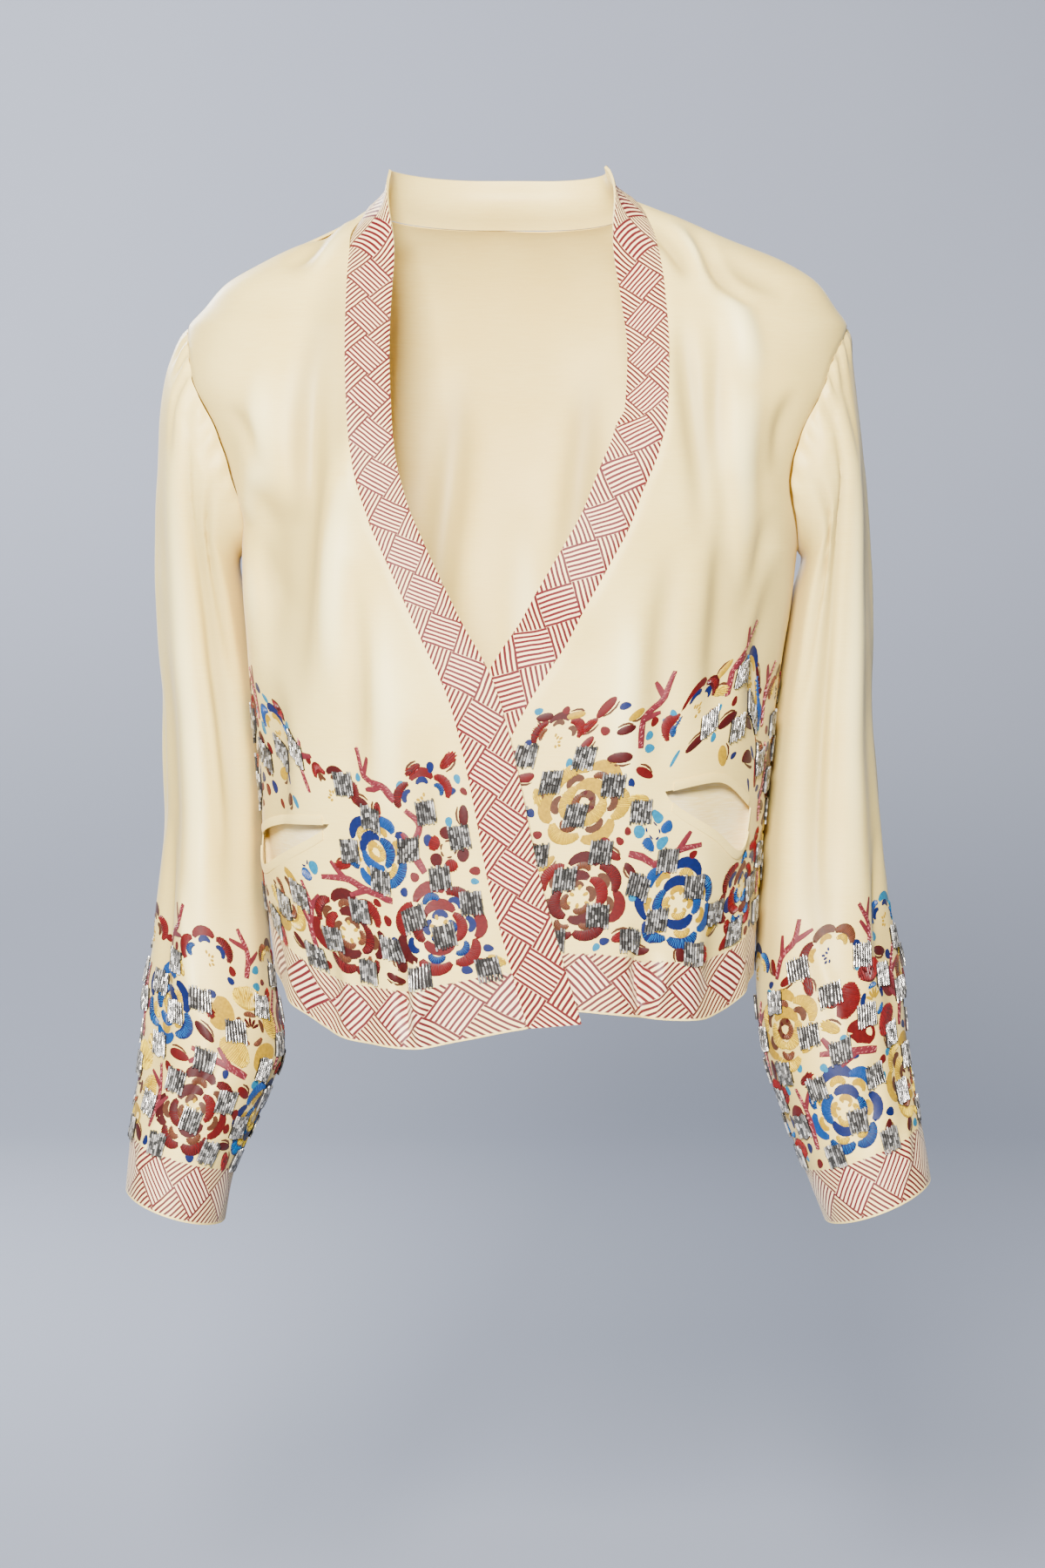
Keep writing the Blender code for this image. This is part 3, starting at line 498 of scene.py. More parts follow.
def front_places(side, u, v):
    """Angle and height on the form for shares across (0 band, 1 side) and up a front."""
    hem = hem_z[side]
    z_low = hem(0.0)
    inner = curve([0.0, ARM_SHARE, CHEST_SHARE, 1.0], [z_low, ARMHOLE_BOTTOM, CHEST_HEIGHT, NECK_RISE[side]])
    z_in = inner(v)
    phi_in = phi_of_x(edge_x[side](z_in), z_in)
    phi_in = np.where(v >= 1.0, side * math.pi / 2, phi_in)
    phi_out, z_out = outer_edge(side, v, hem(1.0), 1)
    phi = phi_in + (phi_out - phi_in) * u
    z = z_in + (z_out - z_in) * u
    dip = hem(u) - (hem(0.0) + (hem(1.0) - hem(0.0)) * u)
    return phi, z + dip * smooth(1 - v / HEM_SHARE)


def back_places(u, v):
    """Angle and height on the form for shares across (-1 the wearer's right, 1 left) and up the back."""
    side = np.where(u < 0, -1, 1)
    away = 1 - np.abs(u)
    phi = np.zeros_like(u)
    z = np.zeros_like(u)
    for s in (-1, 1):
        phi_out, z_out = outer_edge(s, v, hem_z[s](1.0), -1)
        middle = curve([0.0, ARM_SHARE, 1.0], [BACK_HEM * MM, ARMHOLE_BOTTOM, BACK_NECK_DROP])
        z_mid = middle(v)
        seam = np.clip(away / SHOULDER_SHARE, 0, 1)
        round_neck = np.clip((away - SHOULDER_SHARE) / (1 - SHOULDER_SHARE), 0, 1)
        top_z = ARMHOLE_TOP + (NECK_RISE[s] - ARMHOLE_TOP) * seam
        top_z = top_z + (BACK_NECK_DROP - NECK_RISE[s]) * smooth(round_neck * NECK_ROUNDING)
        rise = (top_z - ARMHOLE_TOP) / (BACK_NECK_DROP - ARMHOLE_TOP)
        mix = smooth((v - ARM_SHARE) / (1 - ARM_SHARE)) ** NECK_BLEND
        side_phi = np.abs(phi_out) + (math.pi - np.abs(phi_out)) * (away + (round_neck - away) * mix)
        side_z = z_out + (z_mid - z_out) * (away + (rise - away) * mix)
        here = side == s
        phi = np.where(here, side_phi if s > 0 else 2 * math.pi - side_phi, phi)
        z = np.where(here, side_z, z)
    return phi, z


def neck_places(s):
    """Back neck seam from the wearer's right (-1) to the left (1)."""
    away = 1 - np.abs(s)
    rise = np.where(s < 0, NECK_RISE[-1], NECK_RISE[1])
    z = rise + (BACK_NECK_DROP - rise) * smooth(away * NECK_ROUNDING)
    turn = math.pi / 2 * (1 + away)
    return np.where(s < 0, 2 * math.pi - turn, turn), z


def sleeve_surface(side, turn, row):
    """Point of a sleeve; row counts sections from the armhole, turn 0 outer, 90 degrees front."""
    cuts = SLEEVE_CUTS[side]
    rows = np.arange(len(cuts))

    def at(name):
        return curve(rows, [getattr(c, name) * MM for c in cuts])(row)

    def plain(outer_x, outer_z, inner_x, inner_z, middle, depth):
        c = np.cos(turn)
        x = (outer_x + inner_x) / 2 + c * (outer_x - inner_x) / 2
        z = (outer_z + inner_z) / 2 + c * (outer_z - inner_z) / 2
        y = middle - depth * np.sin(turn)
        return np.stack([x, y, z], axis=-1)

    point = plain(*(at(n) for n in Cut._fields))
    first = plain(*(getattr(cuts[0], n) * MM for n in Cut._fields))
    phi_hole, z_hole = armhole(side, np.where(turn > math.pi, turn - 2 * math.pi, turn))
    phi_hole = np.where(phi_hole < -math.pi / 2 - 1e-9, phi_hole + 2 * math.pi, phi_hole)
    hole = body_surface(phi_hole, z_hole, side)
    fade = (1 - smooth(row / CAP_ROWS))[..., None]
    return point + (hole - first) * fade


def sleeve_normal(side, turn, row):
    turn_step = 0.03
    row_step = 0.1
    last = len(SLEEVE_CUTS[side]) - 1
    along = sleeve_surface(side, turn + turn_step, row) - sleeve_surface(side, turn - turn_step, row)
    low = np.clip(row + row_step, 0, last)
    high = np.clip(row - row_step, 0, last)
    down = sleeve_surface(side, turn, low) - sleeve_surface(side, turn, high)
    return unit(np.cross(along, down)) * side


def crease_height(creases, turn, row):
    total = np.zeros_like(row)
    degrees = np.degrees(turn)
    for crease in creases:
        share = np.clip((row - crease.row_top) / (crease.row_bottom - crease.row_top), 0, 1)
        line = crease.turn_top + (crease.turn_bottom - crease.turn_top) * share
        away = (degrees - line + 180) % 360 - 180
        reach = np.sin(math.pi * share) ** CREASE_SWELL
        total = total + crease.height * MM * np.exp(-(away / crease.width) ** 2) * reach
    return total


def wrinkle_height(wrinkles, points):
    """Height of small creases, each a soft trough or ridge that runs out at both ends."""
    total = np.zeros(points.shape[:-1])
    for w in wrinkles:
        start = np.array([w.x_top, w.z_top]) * MM
        line = np.array([w.x_bottom - w.x_top, w.z_bottom - w.z_top]) * MM
        length = np.linalg.norm(line)
        line = line / length
        away = points[..., [0, 2]] - start
        share = (away @ line) / length
        off = away @ np.array([-line[1], line[0]])
        off = off + WRINKLE_SWAY * np.sin(share * WRINKLE_WAVES + w.x_top)
        reach = np.sin(math.pi * np.clip(share, 0, 1)) ** WRINKLE_SWELL
        total = total + CREASE_DEPTH * w.height * MM * np.exp(-(off / (w.width * MM)) ** 2) * reach
    return total


def ripple(points):
    """Faint unevenness of hanging silk: two sets of waves that never fall in step."""
    x, y, z = np.moveaxis(points, -1, 0)
    broad = np.sin(71 * x + 23 * z + 0.6) * np.sin(37 * y - 29 * z + 1.9)
    small = np.sin(142 * x - 33 * y + 61 * z + 2.2) * np.sin(53 * z + 97 * y)
    return BROAD_RIPPLE * broad + SMALL_RIPPLE * small


def arm_shade(share):
    """Painted shade that deepens from the unshaded cloth (share 0) towards the sides and under the arms (1).
    """
    return ARM_SHADE * smooth((share - UNSHADED_SHARE) / (1 - UNSHADED_SHARE))


def mouth_share(t):
    """Gape of a pocket mouth along it: it opens fast, is widest past its middle and closes steeply."""
    return t ** MOUTH_SWELL * (1 - t ** MOUTH_CLOSE) / MOUTH_PEAK


def lengths(points, axis):
    """Distance run along a grid from its first row or column."""
    step = np.linalg.norm(np.diff(points, axis=axis), axis=-1)
    first = np.zeros_like(np.take(points, [0], axis=axis)[..., 0])
    return np.concatenate([first, np.cumsum(step, axis=axis)], axis=axis)


def seam_dip(points, sides=True):
    """How far the cloth sinks at the seam along its top and at those along its sides."""
    up = lengths(points, 0)
    away = up[-1:] - up
    if sides:
        across = lengths(points, 1)
        away = np.minimum(away, np.minimum(across, across[:, -1:] - across))
    return SEAM_DIP * np.exp(-(away / SEAM_REACH) ** 2)


def drape(points, outward, wrinkles, phi, z, arm_share):
    """A body panel with its small creases and seams, and the relief that its painted shade and painted
    highlight follow.
    """
    height = wrinkle_height(wrinkles, points) + ripple(points)
    # Painted shade and highlight follow the creases and large folds; painted shade deepens towards the sides
    relief = height + FOLD_SHADE_SHARE * fold_height(phi, z) - arm_shade(arm_share)
    return points + outward * (height - seam_dip(points))[..., None], relief


def grid_normals(points, outward):
    """Normals of a grid from its own slopes, turned to the side of the given ones."""
    along = np.gradient(points, axis=1)
    up = np.gradient(points, axis=0)
    normal = unit(np.cross(along, up))
    flip = np.sign(np.sum(normal * outward, axis=-1, keepdims=True))
    return normal * np.where(flip == 0, 1, flip)


def between(grid, row, col):
    """Values of a grid at fractional rows and columns."""
    r0 = row.astype(int)
    c0 = col.astype(int)
    down = row - r0
    across = col - c0
    if grid.ndim > 2:
        down = down[..., None]
        across = across[..., None]
    low = grid[r0, c0] * (1 - across) + grid[r0, c0 + 1] * across
    high = grid[r0 + 1, c0] * (1 - across) + grid[r0 + 1, c0 + 1] * across
    return low * (1 - down) + high * down


class Panel:
    """A cloth grid with row 0 at its lower edge, and the way from the flat cloth to points in space."""

    STEP = 0.002
    REACH = 0.24
    BORDER_MIDDLE = 0.09
    SHORT_OF_LAST = 1.001
    SHUT = 1e-6

    def __init__(self, points, normals, relief, lip=None, slit=None, wrap=False):
        self.points = points
        self.normals = normals
        self.relief = relief
        self.lip = lip
        self.slit = slit
        self.wrap = wrap
        rows, columns = points.shape[:2]
        rise = np.linalg.norm(np.diff(points, axis=0), axis=-1)
        if lip is not None:
            rise[lip] = self.SHUT
        self.heights = np.concatenate([np.zeros((1, columns)), np.cumsum(rise, axis=0)])
        middle = int(np.argmin(np.abs(self.heights[:, columns // 2] - self.BORDER_MIDDLE)))
        self.along = lengths(points, 1)[middle]
        self.width = self.along[-1]
        samples = np.arange(0, self.REACH, self.STEP)
        self.row_table = np.stack(
            [np.interp(samples, self.heights[:, c], np.arange(rows)) for c in range(columns)], axis=1)

    def grid_place(self, s, h):
        """Fractional row and column of flat places, kept on their own side of a pocket mouth."""
        rows, columns = self.points.shape[:2]
        col = np.clip(self.column_at(s), 0, columns - self.SHORT_OF_LAST)
        sample = np.clip(h / self.STEP, 0, len(self.row_table) - self.SHORT_OF_LAST)
        row = between(self.row_table, sample, col)
        if self.lip is not None:
            above = h > self.lip_height(col)
            row = np.where(above, np.maximum(row, self.lip + 1), np.minimum(row, self.lip))
        return np.clip(row, 0, rows - self.SHORT_OF_LAST), col

    def column_at(self, s):
        return np.interp(s, self.along, np.arange(len(self.along)))

    def lip_height(self, col):
        return np.interp(col, np.arange(len(self.along)), self.heights[self.lip])

    def near_mouth(self, s, h, margin):
        """True where places lie on the pocket mouth or on its bound edges."""
        if self.lip is None:
            return np.zeros(np.shape(s), bool)
        col = self.column_at(s)
        inside = (col > self.slit[0] - 1) & (col < self.slit[1] + 1)
        return inside & (np.abs(h - self.lip_height(col)) < margin)

    def place(self, s, h, lift=0.0):
        """Points in space, and normals there, for places on the flat cloth."""
        row, col = self.grid_place(np.asarray(s, float), np.asarray(h, float))
        normal = unit(between(self.normals, row, col))
        return between(self.points, row, col) + normal * np.asarray(lift, float)[..., None], normal

    def print_places(self, block):
        """Print coordinates of every grid point: blocks along, and share up the printed border."""
        along = np.broadcast_to(self.along / block, self.points.shape[:2])
        up = (self.heights - HEM_MARGIN) / HEM_PRINT
        return np.stack([along, up], axis=-1)

    def cloth(self, name, block, finish, joined=None):
        """The panel's own thin wall, printed in blocks of a length."""
        return shell(name, self.points, self.normals, SILK_WALL, [finish], self.print_places(block), joined,
                     self.lip, self.relief)


def new_mesh(name, points, faces):
    mesh = bpy.data.meshes.new(name)
    mesh.from_pydata(points, [], faces)
    return mesh


def set_values(mesh, label, kind, key, values):
    """A value on every point of a mesh."""
    layer = mesh.attributes.new(label, kind, "POINT")
    layer.data.foreach_set(key, np.asarray(values, np.float32).ravel())


def stand(name, data, sharp=None):
    """An object in the scene; a mesh with a sharp angle is smooth but for edges that turn more than that."""
    if sharp is not None:
        data.shade_smooth()
        data.set_sharp_from_angle(angle=sharp)
    obj = bpy.data.objects.new(name, data)
    bpy.context.scene.collection.objects.link(obj)
    return obj


def grid_quads(rows, columns):
    j, i = np.meshgrid(np.arange(rows - 1), np.arange(columns - 1), indexing="ij")
    first = (j * columns + i).ravel()
    return np.stack([first, first + 1, first + columns + 1, first + columns], axis=-1)


def shell(name, points, normals, thickness, finishes, places=None, joined=None, slit_row=None, relief=None):
    """Closed thin wall from a grid: outer sheet, inner sheet and rim, with print places on every corner."""
    rows, columns = points.shape[:2]
    if places is None:
        places = np.zeros((rows, columns, 2))
    quads = grid_quads(rows, columns)
    if slit_row is not None:
        quads = quads[(quads[:, 0] // columns) != slit_row]
    corner_places = places.reshape(-1, 2)[quads]
    if joined is not None:
        quads = joined[quads]
    count = rows * columns
    edges = np.concatenate([quads[:, [k, (k + 1) % 4]] for k in range(4)])
    edge_places = np.concatenate([corner_places[:, [k, (k + 1) % 4]] for k in range(4)])
    keys = edges.min(axis=1) * count + edges.max(axis=1)
    _, where, number = np.unique(keys, return_index=True, return_counts=True)
    open_edges = where[number == 1]
    rim = edges[open_edges]
    rim_faces = np.stack([rim[:, 1], rim[:, 0], rim[:, 0] + count, rim[:, 1] + count], axis=-1)
    rim_places = edge_places[open_edges][:, [1, 0, 0, 1]]
    faces = np.concatenate([quads, quads[:, ::-1] + count, rim_faces])
    corners = np.concatenate([corner_places, corner_places[:, ::-1], rim_places])
    flat = points.reshape(-1, 3)
    inner = flat - normals.reshape(-1, 3) * thickness
    everything = np.concatenate([flat, inner])
    used = np.unique(faces)
    renumber = np.zeros(len(everything), int)
    renumber[used] = np.arange(len(used))
    across = np.cross(flat[quads[:, 1]] - flat[quads[:, 0]], flat[quads[:, 3]] - flat[quads[:, 0]])
    if np.sum(across * normals.reshape(-1, 3)[quads[:, 0]]) < 0:
        faces = faces[:, ::-1]
        corners = corners[:, ::-1]
    mesh = new_mesh(name, everything[used].tolist(), renumber[faces].tolist())
    layer = mesh.uv_layers.new(name="print")
    layer.data.foreach_set("uv", corners.reshape(-1).astype(np.float32))
    # The fold attribute carries painted shade for hollows and painted highlight for ridges
    if relief is not None:
        tone = np.clip(relief.ravel() / FOLD_SHADE_DEPTH, -1, 1)
        set_values(mesh, "fold", "FLOAT", "value", np.concatenate([tone, tone])[used])
    for finish in finishes:
        mesh.materials.append(finish)
    index = np.zeros(len(faces), np.int32)
    index[len(quads):] = len(finishes) - 1
    mesh.polygons.foreach_set("material_index", index)
    return stand(name, mesh, CLOTH_CREASE)


# Node helpers
def add_node(tree, kind, links=None, **settings):
    """A node with its settings, and its inputs set to values or linked to sockets by name or number."""
    made = tree.nodes.new(kind)
    for key, value in settings.items():
        setattr(made, key, value)
    for key, value in (links or {}).items():
        socket = made.inputs[key]
        if isinstance(value, bpy.types.NodeSocket):
            tree.links.new(value, socket)
        else:
            socket.default_value = value
    return made


def calc(tree, operation, *values):
    made = add_node(tree, "ShaderNodeMath", dict(enumerate(values)), operation=operation)
    return made.outputs[0]


def ramp(tree, value, start, end, first=0.0, last=1.0):
    made = add_node(tree, "ShaderNodeMapRange", {
        "Value": value, "From Min": start, "From Max": end, "To Min": first, "To Max": last},
        interpolation_type="SMOOTHSTEP")
    return made.outputs["Result"]


def blend_colour(tree, share, first, second):
    made = add_node(tree, "ShaderNodeMix", {0: share, 6: first, 7: second}, data_type="RGBA")
    return made.outputs[2]


def noise_node(tree, place, scale, detail=2.0):
    return add_node(tree, "ShaderNodeTexNoise", {"Vector": place, "Scale": scale, "Detail": detail})


def node_group(name, inputs, outputs, kind="ShaderNodeTree"):
    """An empty node group with named sockets, and its inner end nodes."""
    tree = bpy.data.node_groups.new(name, kind)
    for label, socket_kind, value in inputs:
        socket = tree.interface.new_socket(label, in_out="INPUT", socket_type=socket_kind)
        if value is not None:
            socket.default_value = value
    for label, socket_kind in outputs:
        tree.interface.new_socket(label, in_out="OUTPUT", socket_type=socket_kind)
    return tree, tree.nodes.new("NodeGroupInput").outputs, tree.nodes.new("NodeGroupOutput").inputs


def basket_hatch_group():
    """Squares on their points, hatched along one diagonal and then the other by an unsteady hand."""
    tree, given, result = node_group(
        "basket_hatch",
        [("Place", "NodeSocketVector", None), ("Lines", "NodeSocketFloat", HATCH_LINES),
         ("Line share", "NodeSocketFloat", BAND_HATCH_SHARE),
         ("Unsteadiness", "NodeSocketFloat", HATCH_UNSTEADINESS)],
        [("Ink", "NodeSocketFloat"), ("Middle block", "NodeSocketFloat")])
    noise = noise_node(tree, given["Place"], 2.3, 1.0)
    shake = add_node(tree, "ShaderNodeSeparateColor", {0: noise.outputs["Color"]})
    place = add_node(tree, "ShaderNodeSeparateXYZ", {0: given["Place"]})

    def shaken(value, channel):
        off = calc(tree, "SUBTRACT", shake.outputs[channel], 0.5)
        return calc(tree, "ADD", value, calc(tree, "MULTIPLY", off, given["Unsteadiness"]))

    rising = calc(tree, "ADD", place.outputs[0], place.outputs[1])
    falling = calc(tree, "SUBTRACT", place.outputs[0], place.outputs[1])
    cells = calc(tree, "ADD", calc(tree, "FLOOR", rising), calc(tree, "FLOOR", falling))
    odd = calc(tree, "FLOORED_MODULO", cells, 2.0)
    chosen = calc(tree, "ADD", calc(tree, "MULTIPLY", rising, odd),
                  calc(tree, "MULTIPLY", falling, calc(tree, "SUBTRACT", 1.0, odd)))
    inside = calc(tree, "FRACT", chosen)
    half = calc(tree, "DIVIDE", calc(tree, "MULTIPLY", given["Line share"], 0.5), given["Lines"])
    spread = add_node(tree, "ShaderNodeMapRange", {
        "Value": shaken(inside, 0), "From Min": half, "From Max": calc(tree, "SUBTRACT", 1.0, half),
        "To Min": 0.0, "To Max": given["Lines"]}, clamp=False)
    near = calc(tree, "PINGPONG", spread.outputs[0], 0.5)
    width = calc(tree, "MULTIPLY", given["Line share"], 0.5)
    ends = [calc(tree, way, width, HATCH_SOFTNESS) for way in ("SUBTRACT", "ADD")]
    ink = ramp(tree, near, *ends, 1.0, 0.0)
    tree.links.new(ink, result["Ink"])
    tree.links.new(odd, result["Middle block"])
    return tree


def silk_weave_group():
    """Fine crossing threads with uneven ones among them, as a height and as a tone."""
    tree, given, result = node_group(
        "silk_weave",
        [("Place", "NodeSocketVector", None), ("Threads per metre", "NodeSocketFloat", THREADS_PER_METRE)],
        [("Height", "NodeSocketFloat"), ("Tone", "NodeSocketFloat")])

    def threads(direction):
        made = add_node(tree, "ShaderNodeTexWave", {
            "Vector": given["Place"], "Scale": given["Threads per metre"], "Distortion": 0.6, "Detail": 1.0},
            wave_type="BANDS", bands_direction=direction)
        return made.outputs["Fac"]

    def mixed(first, first_share, second, second_share):
        first = calc(tree, "MULTIPLY", first, first_share)
        return calc(tree, "ADD", first, calc(tree, "MULTIPLY", second, second_share))

    crossing = calc(tree, "ADD", threads("X"), threads("Z"))
    uneven = add_node(tree, "ShaderNodeMapping", {"Vector": given["Place"], "Scale": (90.0, 90.0, 1400.0)})
    slub = noise_node(tree, uneven.outputs[0], 1.0, 3.0)
    cloud = noise_node(tree, given["Place"], 11.0, 2.0)
    height = mixed(crossing, 0.25, slub.outputs["Fac"], 0.5)
    tone = mixed(slub.outputs["Fac"], 0.35, cloud.outputs["Fac"], 0.65)
    tree.links.new(height, result["Height"])
    tree.links.new(tone, result["Tone"])
    return tree


def add_bump(tree, shader, height, strength, distance):
    bump = add_node(tree, "ShaderNodeBump", {"Height": height, "Strength": strength, "Distance": distance})
    tree.links.new(bump.outputs[0], shader.inputs["Normal"])


def new_material(name, roughness, **sockets):
    finish = bpy.data.materials.new(name)
    finish.use_nodes = True
    tree = finish.node_tree
    shader = tree.nodes["Principled BSDF"]
    shader.inputs["Roughness"].default_value = roughness
    for label, value in sockets.items():
        shader.inputs[label.replace("_", " ")].default_value = value
    return finish, tree, shader


def lay_weave(tree, shader):
    """Woven relief and sheen on a finish; gives the tone of the threads."""
    place = add_node(tree, "ShaderNodeTexCoord")
    weave = add_node(tree, "ShaderNodeGroup", node_tree=bpy.data.node_groups["silk_weave"])
    tree.links.new(place.outputs["Object"], weave.inputs["Place"])
    add_bump(tree, shader, weave.outputs["Height"], 0.12, 0.0002)
    tree.links.new(ramp(tree, weave.outputs["Tone"], 0.25, 0.75, 0.40, 0.54), shader.inputs["Roughness"])
    return weave.outputs["Tone"]


def silk_colour(tree, tone, light):
    """Cream by the tone of the threads, with painted shade in the hollows of folds and towards the sides and
    arms, and painted highlight on their ridges.
    """
    colour = blend_colour(tree, ramp(tree, tone, 0.30, 0.70), CREAM_DEEP, light)
    fold = add_node(tree, "ShaderNodeAttribute", attribute_name="fold").outputs["Fac"]
    colour = blend_colour(tree, ramp(tree, fold, 0.08, -1.0, 0.0, PAINTED_SHADE_SHARE), colour, PAINTED_SHADE_CREAM)
    return blend_colour(tree, ramp(tree, fold, 0.0, 1.0, 0.0, PAINTED_HIGHLIGHT_SHARE), colour, PAINTED_HIGHLIGHT_CREAM)


def hatch_inks(tree, place, share):
    hatch = add_node(tree, "ShaderNodeGroup", node_tree=bpy.data.node_groups["basket_hatch"])
    tree.links.new(place, hatch.inputs["Place"])
    hatch.inputs["Line share"].default_value = share
    ink = blend_colour(tree, hatch.outputs["Middle block"], EDGE_INK, BAND_INK)
    return hatch.outputs["Ink"], hatch.outputs["Middle block"], ink


def cream_silk(name, printed, light=CREAM):
    """Cream silk; a printed one has the hatched border along its lower edge."""
    finish, tree, shader = new_material(
        name, 0.46, Sheen_Weight=0.10, Sheen_Roughness=0.35, Specular_IOR_Level=0.36)
    colour = silk_colour(tree, lay_weave(tree, shader), light)
    if printed:
        place = add_node(tree, "ShaderNodeUVMap", uv_map="print")
        up = add_node(tree, "ShaderNodeSeparateXYZ", {0: place.outputs[0]})
        ink, middle, ink_colour = hatch_inks(tree, place.outputs[0], HEM_HATCH_SHARE)
        ends = noise_node(tree, place.outputs[0], 16.0, 0.0)
        level = calc(tree, "ADD", up.outputs[1], calc(tree, "MULTIPLY", ends.outputs["Fac"], RAGGED_TOP))
        low = ramp(tree, up.outputs[1], *HEM_PRINT_FOOT)
        zone = calc(tree, "MULTIPLY", low, ramp(tree, level, *HEM_PRINT_TOP, 1.0, 0.0))
        wash = calc(tree, "MULTIPLY", ramp(tree, middle, 0.0, 1.0, *HEM_WASH), zone)
        colour = blend_colour(tree, wash, colour, HEM_GROUND)
        colour = blend_colour(tree, calc(tree, "MULTIPLY", ink, zone), colour, ink_colour)
    tree.links.new(colour, shader.inputs["Base Color"])
    return finish


def printed_band():
    finish, tree, shader = new_material("printed_band", 0.48, Sheen_Weight=0.02, Specular_IOR_Level=0.12)
    lay_weave(tree, shader)
    place = add_node(tree, "ShaderNodeUVMap", uv_map="print")
    ink, middle, ink_colour = hatch_inks(tree, place.outputs[0], BAND_HATCH_SHARE)
    ground = blend_colour(tree, middle, BAND_GROUND, BLOCK_GROUND)
    colour = blend_colour(tree, ink, ground, ink_colour)
    tree.links.new(colour, shader.inputs["Base Color"])
    return finish


def dyed(name, roughness, grain, **sockets):
    """A finish whose colour comes from each piece's own dye, mottled a little; on beads it holds painted
    glints and painted shade.
    """
    finish, tree, shader = new_material(name, roughness, **sockets)
    dye = add_node(tree, "ShaderNodeAttribute", attribute_name="dye")
    place = add_node(tree, "ShaderNodeTexCoord")
    noise = noise_node(tree, place.outputs["Object"], grain)
    tone = add_node(tree, "ShaderNodeHueSaturation", {
        "Value": ramp(tree, noise.outputs["Fac"], 0.25, 0.75, 0.82, 1.14), "Color": dye.outputs["Color"]})
    tree.links.new(tone.outputs[0], shader.inputs["Base Color"])
    add_bump(tree, shader, noise.outputs["Fac"], 0.25, 0.0003)
    return finish


# Cloth pieces
def front_panel(side):
    """A front with its pocket mouth: the lip row stands twice, once below and once above the mouth."""
    pocket = POCKETS[side]
    columns = np.arange(FRONT_COLUMNS * REFINE + 1) / REFINE
    rows = np.arange(PANEL_ROWS * REFINE + 1) / REFINE
    uu, vv = np.meshgrid(columns / FRONT_COLUMNS, rows / PANEL_ROWS)
    phi, z = front_places(side, uu, vv)
    section_z = z[:LOW_ROWS * REFINE:REFINE, pocket.first * REFINE]
    lip = int(np.argmin(np.abs(section_z - pocket.z_middle * MM)))
    lip_row = lip * REFINE
    t = np.clip((columns - pocket.first) / (pocket.last - pocket.first), 0, 1)
    bow = curve([0, LIP_MIDDLE, 1], [pocket.z_first * MM, pocket.z_middle * MM, pocket.z_last * MM])(t)
    inside = smooth((columns - pocket.first + LIP_EASE_IN) / LIP_EASE_IN)
    inside = inside * smooth((pocket.last + LIP_EASE_OUT - columns) / LIP_EASE_OUT)
    shift = (bow - z[lip_row]) * inside
    gape = pocket.gape * MM * mouth_share(t)
    order = np.concatenate([np.arange(lip_row + 1), np.arange(lip_row, len(rows))])
    below = (np.arange(len(order)) <= lip_row)[:, None]
    away = np.abs(rows[order] - lip)[:, None]
    fade = np.clip(1 - away / LIP_ROWS, 0, 1)
    phi = phi[order]
    plain_z = z[order] + shift * fade
    panel_z = plain_z - gape * fade * below
    outward = form_normal(phi, panel_z)
    points = body_surface(phi, panel_z, side) + outward * (gape * LIP_PUFF * fade ** 2 * below)[..., None]
    points, relief = drape(points, outward, FRONT_WRINKLES[side], phi, panel_z, uu[order])
    split = lip_row + 1
    normals = np.concatenate([
        grid_normals(points[:split], outward[:split]), grid_normals(points[split:], outward[split:])])
    slit = (pocket.first * REFINE, pocket.last * REFINE)
    panel = Panel(points, normals, relief, lip_row, slit)
    return panel, body_surface(phi, plain_z, side), outward


def join_slit(panel):
    """Vertex numbers with the two lip rows joined outside the mouth."""
    rows, columns = panel.points.shape[:2]
    numbers = np.arange(rows * columns)
    for c in range(columns):
        if c <= panel.slit[0] or c >= panel.slit[1]:
            numbers[(panel.lip + 1) * columns + c] = panel.lip * columns + c
    return numbers


def back_panel():
    u = np.linspace(-1, 1, BACK_COLUMNS * REFINE + 1)
    uu, vv = np.meshgrid(u, np.linspace(0, 1, PANEL_ROWS * REFINE + 1))
    phi, z = back_places(uu, vv)
    outward = form_normal(phi, z)
    points, relief = drape(body_surface(phi, z, 0), outward, BACK_WRINKLES, phi, z, np.abs(uu))
    return Panel(points, grid_normals(points, outward), relief)


def sleeve_panel(side):
    """A sleeve unrolled from its back: row 0 is the cuff, the last column meets the first."""
    around = 2 * ARM_ROWS * TURN_REFINE
    turns = np.radians(-90.0) + np.linspace(0, 2 * math.pi, around + 1)
    turns = turns % (2 * math.pi)
    share = np.linspace(0, 1, SLEEVE_ROWS * SLEEVE_REFINE + 1)
    rows = (share ** CUFF_CROWDING * (len(SLEEVE_CUTS[side]) - 1))[::-1]
    tt, rr = np.meshgrid(turns, rows)
    outward = sleeve_normal(side, tt, rr)
    height = crease_height(SLEEVE_FOLDS[side], tt, rr)
    height = height + SLEEVE_CREASE_DEPTH * crease_height(SLEEVE_CREASES[side], tt, rr)
    points = sleeve_surface(side, tt, rr) + outward * height[..., None]
    ease = EASE_HEIGHT * np.sin(tt * EASE_WAVES) * np.exp(-((rr - EASE_ROW) / EASE_REACH) ** 2)
    ease = ease * smooth(np.cos(tt) + EASE_TURN)
    lift = ripple(points) + ease - seam_dip(points, False)
    points = points + outward * lift[..., None]
    normals = grid_normals(points, outward)
    ends = unit(normals[:, 0] + normals[:, -1])
    normals[:, 0] = ends
    normals[:, -1] = ends
    # Relief for the sleeve's painted shade and highlight, with painted shade under the arm
    return Panel(points, normals, height - arm_shade(0.5 - 0.5 * np.cos(tt)), wrap=True)


def join_tube(panel):
    rows, columns = panel.points.shape[:2]
    numbers = np.arange(rows * columns).reshape(rows, columns)
    numbers[:, -1] = numbers[:, 0]
    return numbers.ravel()


